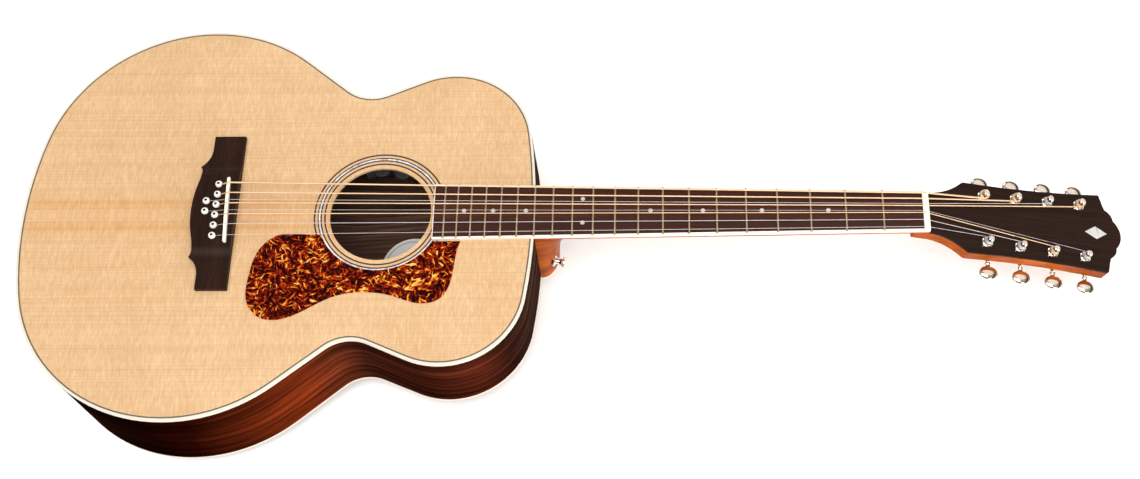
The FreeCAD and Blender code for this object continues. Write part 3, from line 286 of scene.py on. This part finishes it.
def tortoise(name):
    """Celluloid with thin amber shards that lie every way over dark red brown."""
    look = Look(name, 0.25, coat=0.03, coat_rough=0.03, specular=0.03)
    x, y, z = look.parts(look.place)
    warp_x = look.noise(look.mapped(look.place, (100, 100, 60)), 2, 0.6, 0.5)
    warp_y = look.noise(look.mapped(look.place, (100, 100, 60), (7, 3, 0)), 2, 0.6, 0.5)
    near_x = look.calc("MULTIPLY_ADD", warp_x, 0.006, x)
    near = look.join(near_x, look.calc("MULTIPLY_ADD", warp_y, 0.006, y), z)
    layers = []
    for patch, scale, move in ((80, (92, 400, 60), (1, 2, 0)), (100, (100, 440, 60), (4, 7, 0)),
                               (68, (76, 320, 60), (9, 5, 0))):
        angle = look.parts(look.cells(look.mapped(near, (patch, patch, patch / 2), move)))[0]
        turned = look.add("ShaderNodeVectorRotate", rotation_type="Z_AXIS")
        look.feed(turned.inputs["Vector"], near)
        look.feed(turned.inputs["Angle"], look.calc("MULTIPLY", angle, 2 * math.pi))
        layers.append(look.noise(look.mapped(turned.outputs[0], scale, move), 1, 0.5, 0.6))
    top = look.calc("MAXIMUM", layers[0], look.calc("MAXIMUM", layers[1], layers[2]))
    clouds = look.noise(look.mapped(look.place, (60, 60, 45)), 3, 0.65, 0.8)
    mixed = look.calc("MULTIPLY_ADD", top, 1.3, look.calc("MULTIPLY_ADD", clouds, 0.6, -0.7))
    look.colour(look.ramp(mixed, [
        (0.23, (0.006, 0.001, 0.001)), (0.31, (0.032, 0.002, 0.001)), (0.355, (0.085, 0.004, 0.001)),
        (0.40, (0.185, 0.008, 0.002)), (0.445, (0.32, 0.022, 0.002)), (0.485, (0.50, 0.085, 0.004)),
        (0.535, (0.66, 0.31, 0.024)), (0.60, (0.74, 0.50, 0.12))]))
    look.rough(look.grey(clouds, 0.18, 0.32))
    look.bump(top, 0.00001)
    return look.material


def metal(name, tint, rough, metal_share=1.0):
    """Plated or drawn metal with faint handling marks."""
    look = Look(name, rough, metal=metal_share)
    smear = look.noise(look.mapped(look.place, (90, 90, 90)), 3, 0.6, 0.4)
    marks = look.noise(look.mapped(look.place, (300, 300, 300)), 3, 0.7)
    low = tuple(part * 0.86 for part in tint)
    look.colour(look.mix(look.ramp(smear, [(0.35, (0, 0, 0)), (0.65, (1, 1, 1))]), (*low, 1), (*tint, 1)))
    look.rough(look.grey(smear, rough * 0.7, rough * 1.5))
    if metal_share == 1.0:
        look.bump(marks, 0.000004)
    return look.material


def wound(name):
    """Bronze wire wrapped round a core: close ridges along the string."""
    look = Look(name, 0.42, metal=0.6)
    along = look.parts(look.place)[0]
    ridges = look.calc("SINE", look.calc("MULTIPLY", along, 2 * math.pi / (0.55 * MM)))
    worn = look.noise(look.mapped(look.place, (30, 200, 200)), 3, 0.6)
    look.colour(look.ramp(worn, [(0.3, (0.72, 0.46, 0.27)), (0.7, (0.86, 0.62, 0.42))]))
    look.rough(look.grey(ridges, 0.5, 0.38, -1.0, 1.0))
    look.bump(ridges, 0.000012)
    return look.material


def plastic(name, light, shade, rough, coat=0.4):
    """Moulded or polished plastic, bone or paint, mottled between two near tones."""
    look = Look(name, rough, coat=coat, coat_rough=0.06, specular=0.3)
    cloud = look.noise(look.mapped(look.place, (55, 55, 55)), 3, 0.6, 0.3)
    grit = look.noise(look.mapped(look.place, (1040, 1040, 1040)), 2, 0.6)
    look.colour(look.ramp(cloud, [(0.3, shade), (0.7, light)]))
    look.rough(look.grey(grit, rough * 0.8, rough * 1.25))
    look.bump(grit, 0.000006)
    return look.material


def pearl(name):
    """Shell: soft patches of white, green and rose."""
    look = Look(name, 0.18, coat=0.8, coat_rough=0.03)
    patch = look.noise(look.mapped(look.place, (160, 90, 90)), 3, 0.6, 1.5)
    look.colour(look.ramp(patch, [
        (0.3, (0.36, 0.38, 0.37)), (0.45, (0.60, 0.62, 0.60)), (0.6, (0.56, 0.52, 0.52)),
        (0.75, (0.80, 0.80, 0.77))]))
    look.shader.inputs["Metallic"].default_value = 0.25
    look.bump(patch, 0.00002)
    return look.material


def rosette_look(name):
    """Rings about the soundhole: a dark line in each outer ring, pearl in the middle one."""
    look = Look(name, 0.28, coat=0.1, coat_rough=0.06, specular=0.2)
    low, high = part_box("rosette")
    middle = (low + high) / 2
    flat = look.mapped(look.place, (1, 1, 0), (-middle.x, -middle.y, 0))
    length = look.add("ShaderNodeVectorMath", operation="LENGTH")
    look.feed(length.inputs[0], flat)
    radius = look.grey(length.outputs["Value"], 0.0, 1.0, 0.053, 0.068)
    cream, white = (0.70, 0.46, 0.24), (0.74, 0.77, 0.80)
    dark, brown = (0.050, 0.038, 0.036), (0.075, 0.038, 0.028)
    edges = [53.0, 54.75, 56.45, 58.0, 60.15, 61.75, 63.9, 65.15, 66.95]
    tones = [cream, dark, cream, brown, white, brown, cream, dark, cream]
    stops = [((edge - 53.0) / 15.0, tone) for edge, tone in zip(edges, tones)]
    shell = look.noise(look.mapped(look.place, (150, 150, 150)), 3, 0.65, 1.2)
    sheen = look.ramp(shell, [
        (0.36, (0.50, 0.44, 0.47)), (0.5, (0.80, 0.80, 0.82)), (0.62, (1.05, 1.05, 1.05))])
    past, short = look.calc("GREATER_THAN", radius, 0.34), look.calc("LESS_THAN", radius, 0.66)
    inlay = look.calc("MULTIPLY", past, short)
    rings = look.ramp(radius, stops, steps=True)
    look.colour(look.mix(inlay, rings, look.mix(1.0, rings, sheen, "MULTIPLY")))
    look.bump(shell, 0.00001)
    return look.material


def label_look(name):
    """Blank grey-white paper with two thin rings near its edge."""
    look = Look(name, 0.75)
    low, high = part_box("label")
    middle = (low + high) / 2
    flat = look.mapped(look.place, (1, 1, 0), (-middle.x, -middle.y, 0))
    length = look.add("ShaderNodeVectorMath", operation="LENGTH")
    look.feed(length.inputs[0], flat)
    ring = look.grey(length.outputs["Value"], 0.0, 1.0, 0.0, 0.040)
    paper, ink = (0.90, 0.89, 0.86), (0.16, 0.16, 0.17)
    stops = [(0.0, paper), (0.72, ink), (0.735, paper), (0.76, ink), (0.765, paper)]
    lines = look.ramp(ring, stops, steps=True)
    fibre = look.noise(look.mapped(look.place, (900, 900, 900)), 3, 0.7)
    felt = look.ramp(fibre, [(0.3, (0.88, 0.87, 0.85)), (0.7, (1, 1, 1))])
    look.colour(look.mix(1.0, lines, felt, "MULTIPLY"))
    look.bump(fibre, 0.00003)
    return look.material


def dress(look, *names):
    """Gives a material to every slot of these CAD nodes."""
    for name in names:
        for slot in NODES[name].material_slots:
            slot.material = look


CHROME = metal("chrome_look", (0.84, 0.77, 0.70), 0.08)
STEEL = metal("steel_look", (0.62, 0.61, 0.60), 0.22)
FRET = metal("fret_look", (0.66, 0.55, 0.38), 0.3)
PLAIN_STRING = metal("plain_string_look", (0.66, 0.63, 0.64), 0.5, metal_share=0.5)
WOUND_STRING = wound("wound_string_look")
PIN_WHITE = plastic("pin_look", (0.90, 0.88, 0.82), (0.82, 0.79, 0.71), 0.2)
BINDING = plastic("binding_look", (0.82, 0.79, 0.73), (0.78, 0.75, 0.68), 0.25, coat=0.1)
EDGE = plastic("edge_look", (0.70, 0.645, 0.545), (0.66, 0.60, 0.50), 0.35, coat=0.03)
BONE = plastic("bone_look", (0.90, 0.87, 0.77), (0.80, 0.75, 0.62), 0.35)
BLACK = plastic("black_look", (0.012, 0.012, 0.013), (0.007, 0.007, 0.008), 0.35, coat=0.1)
WHEEL = plastic("wheel_look", (0.014, 0.014, 0.015), (0.008, 0.008, 0.009), 0.45, coat=0.1)
PEARL = pearl("pearl_look")


def dress_all():
    """Gives every CAD node the material of what it is made of."""
    dress(spruce("spruce_top_look"), "soundboard")
    dress(spruce("brace_look", gloss=False), "x_braces", "transverse_brace", "top_braces")
    # The sides carry painted light and shade along their length, not only wood colour.
    side = rosewood("side_look", (1.6, 1.6, 75), (0.95, 0.5, 0.28), 0.0, 0.0, painted_side_light=True)
    dress(side, "rib_bass", "rib_treble")
    dress(rosewood("back_look", (1.6, 75, 2), (1.1, 0.9, 0.8), 0.12, 0.05, bare=True), "back")
    bridge = rosewood("bridge_look", (90, 6, 6), (0.33, 0.48, 0.45), 0.0, 0.1, figure=0.45)
    dress(bridge, "bridge", "bridge_plate")
    dress(rosewood("board_look", (2, 110, 6), (0.75, 0.8, 0.8), figure=0.4), "fingerboard")
    head = rosewood("head_look", (2, 90, 6), (0.32, 0.58, 0.70), 0.06, 0.05, figure=0.35)
    dress(head, "headstock_veneer")
    dress(mahogany("neck_look"), "neck")
    dress(mahogany("block_look", gloss=False), "neck_block", "tail_block", "linings")
    dress(tortoise("pickguard_look"), "pickguard")
    dress(BINDING, "fingerboard_binding", "heel_cap")
    dress(EDGE, "top_binding", "back_binding")
    dress(plastic("purfling_look", (0.13, 0.115, 0.105), (0.09, 0.08, 0.075), 0.3), "top_purfling")
    dress(rosette_look("rosette_look"), "rosette")
    dress(BONE, "nut", "saddle")
    dress(PIN_WHITE, "bridge_pins")
    dress(PEARL, "position_markers", "headstock_inlay")
    dress(FRET, "frets")
    dress(STEEL, "truss_rod", "truss_rod_nut")
    dress(CHROME, "strap_button", "output_jack", "tuner_bushings", "tuner_screws", "tuner_housings")
    dress(CHROME, *[f"tuner_post_{number}" for number in range(1, 9)])
    dress(CHROME, *[f"tuner_knob_{number}" for number in range(1, 9)])
    dress(WOUND_STRING, "wound_strings")
    dress(PLAIN_STRING, "plain_strings")
    dress(BLACK, "preamp_housing", "wiring")
    dress(WHEEL, "volume_wheel", "tone_wheel")
    dress(plastic("strip_look", (0.3, 0.24, 0.14), (0.2, 0.16, 0.09), 0.5), "pickup_strip")
    dress(plastic("battery_look", (0.13, 0.13, 0.14), (0.08, 0.08, 0.09), 0.35), "battery")
    dress(label_look("label_look"), "label")


dress_all()


# ---- pieces -----------------------------------------------------------------------------------


def piece(name, verts, faces, look, body, replaces=(), smooth=True):
    """A mesh piece in the row frame that rides on a CAD body."""
    mesh = bpy.data.meshes.new(name)
    mesh.from_pydata([tuple(vert) for vert in verts], [], faces)
    mesh.validate()
    mesh.polygons.foreach_set("use_smooth", [smooth] * len(mesh.polygons))
    mesh.materials.append(look)
    thing = bpy.data.objects.new(name, mesh)
    bpy.context.scene.collection.objects.link(thing)
    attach(thing, body)
    if replaces:
        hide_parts(*replaces)
    return thing


def skin(rings):
    """Vertices and faces of a closed tube through rings of equal length, capped at both ends."""
    count = len(rings[0])
    verts = [vert for ring in rings for vert in ring]
    faces = []
    for row in range(len(rings) - 1):
        for step in range(count):
            near, far = row * count + step, row * count + (step + 1) % count
            faces.append((near, far, far + count, near + count))
    faces.append(tuple(reversed(range(count))))
    faces.append(tuple(range(len(verts) - count, len(verts))))
    return verts, faces


def merged(parts):
    """Several closed shells as one list of vertices and faces."""
    verts, faces = [], []
    for part_verts, part_faces in parts:
        start = len(verts)
        verts += part_verts
        faces += [tuple(index + start for index in face) for face in part_faces]
    return verts, faces


def oval_ring(centre, first, second, count, power=2.0):
    """A ring of points on a superellipse with these two half-axis vectors."""
    ring = []
    for step in range(count):
        turn = 2 * math.pi * step / count
        a, b = math.cos(turn), math.sin(turn)
        a = math.copysign(abs(a) ** (2 / power), a)
        b = math.copysign(abs(b) ** (2 / power), b)
        ring.append(centre + first * a + second * b)
    return ring


def lathe(base, axis, side, corners, count=48):
    """A turned shell: corners are (radius, height) in millimetres along the axis."""
    across = axis.cross(side)
    rings = []
    for radius, height in corners:
        rings.append(oval_ring(base + axis * height * MM, side * radius * MM, across * radius * MM, count))
    return skin(rings)


def swept(points, radius, count=12):
    """A round tube through points."""
    rings = []
    normal = None
    for index, point in enumerate(points):
        before, after = points[max(index - 1, 0)], points[min(index + 1, len(points) - 1)]
        along = (after - before).normalized()
        if normal is None:
            normal = along.orthogonal().normalized()
        normal = (normal - along * normal.dot(along)).normalized()
        rings.append(oval_ring(point, normal * radius, along.cross(normal) * radius, count))
    return skin(rings)


class Tuner:
    """Directions at one tuning machine: out of the headstock's face, towards its tip, and sideways."""

    def __init__(self, number):
        self.number = number
        self.post = Vector(JOINTS[f"post_{number}_turn"]["pos_m"])
        self.up = Vector(JOINTS[f"post_{number}_turn"]["axis"]).normalized()
        self.knob = Vector(JOINTS[f"knob_{number}_turn"]["pos_m"])
        self.out = Vector(JOINTS[f"knob_{number}_turn"]["axis"])
        self.tip = Vector((0, 1, 0)).cross(self.up).normalized()

    def at(self, tip, out, up):
        """A point this many millimetres from where the post meets the headstock's face."""
        return self.post + (self.tip * tip + self.out * out + self.up * up) * MM


TUNERS = [Tuner(number) for number in range(1, 9)]


def make_buttons():
    """Cast oval buttons that draw out of their stems."""
    for tuner in TUNERS:
        worm = tuner.knob - tuner.out * (tuner.knob - tuner.post).dot(tuner.out)
        rings = []
        for radius, height in ((2.0, -5.5), (2.0, 5.0), (2.3, 5.6), (2.3, 9.0)):
            centre = worm + tuner.out * height * MM
            rings.append(oval_ring(centre, tuner.tip * radius * MM, tuner.up * radius * MM, 40))
        for radius, back in ((2.3, 11.0), (3.1, 10.7), (3.1, 9.2), (2.5, 8.8), (2.4, 8.2)):
            centre = tuner.knob - tuner.out * back * MM
            rings.append(oval_ring(centre, tuner.tip * radius * MM, tuner.up * radius * MM, 40))
        steps = 22
        for step in range(1, steps):
            share = -math.cos(math.pi * step / steps)
            wide = max(10.0 * math.sqrt(1 - share**2), 2.4 + 1.2 * (1 + share) if share < 0 else 0)
            thick = max(4.0 * (1 - abs(share) ** 2.6) ** (1 / 2.4), 2.3 if share < -0.5 else 0)
            centre = tuner.knob + tuner.out * share * 7.7 * MM
            rings.append(oval_ring(centre, tuner.tip * wide * MM, tuner.up * thick * MM, 40, 2.15))
        verts, faces = skin(rings)
        name = f"tuner_button_{tuner.number}"
        piece(name, verts, faces, CHROME, f"knob_{tuner.number}", [f"tuner_knob_{tuner.number}"])


def rounded_block(tuner, low, high, radius, dome):
    """A block with rounded corners and a domed back, between two corners in millimetres."""
    rings = []
    centre = [(a + b) / 2 for a, b in zip(low, high)]
    half = [(b - a) / 2 for a, b in zip(low, high)]
    levels = [(high[2], 0.0), (low[2] + radius, 0.0)]
    for step in range(1, 6):
        turn = math.pi / 2 * step / 5
        levels.append((low[2] + radius * (1 - math.sin(turn)), radius * (1 - math.cos(turn))))
    levels += [(low[2] - dome * 0.6, radius * 1.9), (low[2] - dome, radius * 2.8)]
    for level, inset in levels:
        ring = []
        for quarter, (sx, sy) in enumerate(((1, 1), (-1, 1), (-1, -1), (1, -1))):
            for step in range(7):
                turn = math.pi / 2 * (quarter + step / 6)
                bend = max(radius - inset * 0.3, 0.3)
                x = centre[0] + sx * (half[0] - inset - bend) + bend * math.cos(turn)
                y = centre[1] + sy * (half[1] - inset - bend) + bend * math.sin(turn)
                ring.append(tuner.at(x, y, level))
        rings.append(ring)
    return skin(rings)


def make_cases():
    """Sealed cast cases behind the headstock, each with a foot for its screw and a collar for the stem."""
    wood = 14.5  # thickness of the headstock with its veneer
    shells = []
    for tuner in TUNERS:
        shells.append(rounded_block(tuner, (-8, -8, -wood - 11.0), (12, 8, -wood), 2.6, 0.5))
        foot = tuner.at(-9.6, -4.6, -wood - 2.2)
        shells.append(lathe(foot, tuner.up, tuner.tip, [(3.2, 0), (3.6, 0.4), (3.6, 2.2)], 32))
        collar = tuner.knob - tuner.out * ((tuner.knob - tuner.post).dot(tuner.out) - 8 * MM)
        corners = [(3.9, -0.5), (3.9, 1.2), (3.5, 1.6), (2.42, 1.6)]
        shells.append(lathe(collar, tuner.out, tuner.up, corners, 32))
    verts, faces = merged(shells)
    piece("tuner_cases", verts, faces, CHROME, "guitar", ["tuner_housings"])


# Thickness in millimetres of the string on each tuner.
STRING_SIZES = {1: 1.75, 2: 1.4, 3: 0.5, 4: 1.15, 5: 0.43, 6: 0.6, 7: 0.9, 8: 0.36}


def make_wraps():
    """Turns of string round each post, and the cut end that sticks out of its hole."""
    for tuner in TUNERS:
        size = STRING_SIZES[tuner.number]
        winding = 3.22 + size / 2
        low, high = 2.35 + size / 2, 7.4 - size / 2
        turns = max(int((high - low) / (size * 1.06)), 2)
        points = []
        for step in range(turns * 20 + 1):
            turn = 2 * math.pi * step / 20
            level = high - (high - low) * step / (turns * 20)
            points.append(tuner.at(winding * math.sin(turn), -winding * math.cos(turn), level))
        side = 1 if tuner.out.y > 0 else -1
        tail = []
        for reach in (1.0, 6.0, 10.0):
            tail.append(tuner.at(-reach * 0.75, -reach * 0.66 * side, 2.2 + size / 2 + 0.05 * reach))
        verts, faces = merged([swept(points, size / 2 * MM), swept(tail, size / 2 * MM)])
        look, slot = (WOUND_STRING, "bronze_wound") if size > 0.7 else (PLAIN_STRING, "plain_steel")
        piece(f"string_wrap_{tuner.number}", verts, faces, look, f"post_{tuner.number}")


def make_pin_dots():
    """A black dot let into the top of every bridge pin."""
    mesh = NODES["bridge_pins"].data
    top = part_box("bridge_pins")[1].z
    tips = [vert.co for vert in mesh.vertices if vert.co.z > top - 0.01 * MM]
    spots = {(round(tip.x, 5), round(tip.y, 5)) for tip in tips}
    shells = []
    for x, y in sorted(spots):
        base = Vector((x, y, top - 0.45 * MM))
        corners = [(1.45, 0.0), (1.45, 0.30), (1.2, 0.44), (0.6, 0.52), (0.1, 0.54)]
        shells.append(lathe(base, Vector((0, 0, 1)), Vector((1, 0, 0)), corners, 24))
    verts, faces = merged(shells)
    piece("pin_dots", verts, faces, BLACK, "guitar")


def make_side_dots():
    """Small black dots along the bass edge of the fingerboard, one beside each marked place."""
    edge = [vert.co for vert in NODES["fingerboard_binding"].data.vertices if vert.co.y > 0]
    tail, nut = min(edge, key=lambda spot: spot.x), max(edge, key=lambda spot: spot.x)
    wide = [max(spot.y for spot in edge if abs(spot.x - end.x) < 0.5 * MM) for end in (tail, nut)]
    marks = [vert.co for vert in NODES["position_markers"].data.vertices]
    places = []
    for spot in sorted(marks, key=lambda spot: spot.x):
        if not places or spot.x - places[-1][0].x > 6 * MM:
            places.append([spot])
        places[-1].append(spot)
    shells = []
    for group in places:
        x = (min(spot.x for spot in group) + max(spot.x for spot in group)) / 2
        share = (x - tail.x) / (nut.x - tail.x)
        y = wide[0] + (wide[1] - wide[0]) * share
        z = max(spot.z for spot in group) - 2.6 * MM
        base = Vector((x, y - 0.3 * MM, z))
        corners = [(1.0, 0.0), (1.0, 0.34), (0.8, 0.38)]
        shells.append(lathe(base, Vector((0, 1, 0)), Vector((1, 0, 0)), corners, 24))
    verts, faces = merged(shells)
    piece("side_dots", verts, faces, BLACK, "guitar")


WHEEL_RIBS = 36


def make_wheels():
    """Thumb wheels with ribbed rims."""
    for name in ("volume_wheel", "tone_wheel"):
        low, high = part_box(name)
        centre, radius = (low + high) / 2, (high.x - low.x) / 2
        rings = []
        bevel = 0.6 * MM
        levels = ((low.z, 0.9), (low.z + bevel, 0.0), (high.z - bevel, 0.0), (high.z, 0.9))
        for level, inset in levels:
            ring = []
            for step in range(WHEEL_RIBS * 4):
                groove = 0.5 * MM if step % 4 in (2, 3) else 0.0
                away = radius - inset * MM - groove
                turn = 2 * math.pi * step / (WHEEL_RIBS * 4)
                spot = (centre.x + away * math.cos(turn), centre.y + away * math.sin(turn), level)
                ring.append(Vector(spot))
            rings.append(ring)
        verts, faces = skin(rings)
        piece(name + "_ribbed", verts, faces, WHEEL, name, [name], smooth=False)


make_buttons()
make_cases()
make_wraps()
make_pin_dots()
make_side_dots()
make_wheels()


# ---- floor, light and camera ------------------------------------------------------------------


def make_floor():
    """A plain pale floor just below the guitar."""
    mesh = bpy.data.meshes.new("studio_floor")
    low = CAD_BOX[0][2] - 0.5 * MM
    reach = 14
    corners = [(-reach, -reach, low), (reach, -reach, low), (reach, reach, low), (-reach, reach, low)]
    mesh.from_pydata(corners, [], [(0, 1, 2, 3)])
    look = Look("floor_look", 0.9)
    cloud = look.noise(look.mapped(look.place, (1.5, 1.5, 1)), 2)
    look.colour(look.ramp(cloud, [(0.3, (0.90, 0.90, 0.90)), (0.7, (0.93, 0.93, 0.93))]))
    look.shader.inputs["Emission Color"].default_value = (1, 1, 1, 1)
    look.shader.inputs["Emission Strength"].default_value = 0.2
    mesh.materials.append(look.material)
    floor = bpy.data.objects.new("studio_floor", mesh)
    bpy.context.scene.collection.objects.link(floor)


def make_light(name, where, towards, width, height, power, tint=(1, 1, 1)):
    """A rectangular lamp that faces a point."""
    lamp = bpy.data.lights.new(name, "AREA")
    lamp.shape = "RECTANGLE"
    lamp.size, lamp.size_y = width, height
    lamp.energy = power
    lamp.color = tint
    thing = bpy.data.objects.new(name, lamp)
    thing.location = where
    thing.rotation_euler = (Vector(towards) - Vector(where)).to_track_quat("-Z", "Y").to_euler()
    bpy.context.scene.collection.objects.link(thing)


def make_world():
    """Soft sky over a pale horizon, with a dark band between them so that plated parts show contrast."""
    world = bpy.data.worlds.new("studio")
    world.use_nodes = True
    tree = world.node_tree
    place = tree.nodes.new("ShaderNodeTexCoord")
    parts = tree.nodes.new("ShaderNodeSeparateXYZ")
    band = tree.nodes.new("ShaderNodeValToRGB")
    stops = (
        (0.50, (1.30, 1.28, 1.26)), (0.59, (1.20, 1.18, 1.16)), (0.62, (0.05, 0.05, 0.05)),
        (0.68, (0.05, 0.05, 0.05)), (0.85, (1.00, 0.91, 0.81)))
    elements = band.color_ramp.elements
    while len(elements) < len(stops):
        elements.new(0.5)
    for element, (spot, colour) in zip(elements, stops):
        element.position = spot
        element.color = (*colour, 1)
    half = tree.nodes.new("ShaderNodeMath")
    half.operation = "MULTIPLY_ADD"
    half.inputs[1].default_value = 0.5
    half.inputs[2].default_value = 0.5
    tree.links.new(place.outputs["Generated"], parts.inputs[0])
    tree.links.new(parts.outputs["Z"], half.inputs[0])
    tree.links.new(half.outputs[0], band.inputs[0])
    tree.links.new(band.outputs[0], tree.nodes["Background"].inputs["Color"])
    tree.nodes["Background"].inputs["Strength"].default_value = 0.5
    bpy.context.scene.world = world


def make_camera():
    """A camera at a standing viewer's place on the treble side, looking down at the strings."""
    camera = bpy.data.cameras.new("camera")
    camera.sensor_width = 36
    camera.lens = 48.08
    camera.shift_x = -0.0212
    camera.shift_y = -0.0119
    thing = bpy.data.objects.new("camera", camera)
    right = Vector((0.99908, 0.01773, -0.03913))
    up = Vector((0.00103, 0.90074, 0.43435))
    back = Vector((0.04295, -0.43399, 0.89989))
    tilt = Matrix.Rotation(math.radians(0.6), 3, "Y")
    turn = tilt @ Matrix((right, up, back)).transposed()
    nut = Vector((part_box("nut")[0].x, 0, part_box("soundboard")[1].z))
    joint = Vector((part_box("top_binding")[1].x, 0, nut.z))
    origin = joint + Vector((0, 0, 0.0031)) + tilt @ Vector((0.38042, 0, 0))
    eye = origin + tilt @ Vector((-0.25707, -0.66483, 1.34513))
    thing.matrix_world = Matrix.Translation(eye) @ turn.to_4x4()
    bpy.context.scene.collection.objects.link(thing)
    bpy.context.scene.camera = thing


bpy.context.scene.view_settings.view_transform = "Standard"
make_floor()
make_world()
make_light("key", (0, -0.9, 2.9), (0, -0.05, 0.1), 3.4, 2.0, 100)
make_light("side", (1.7, -1.9, 0.62), (-0.1, -0.15, 0.07), 0.9, 0.5, 40, (1, 0.93, 0.86))
make_light("rim", (-0.4, 2.2, 1.6), (0.1, 0, 0.1), 1.6, 0.8, 12)
make_light("card", (1.6, 1.1, 2.1), (0.5, 0, 0.1), 2.2, 2.2, 10, (1, 0.9, 0.8))
make_camera()
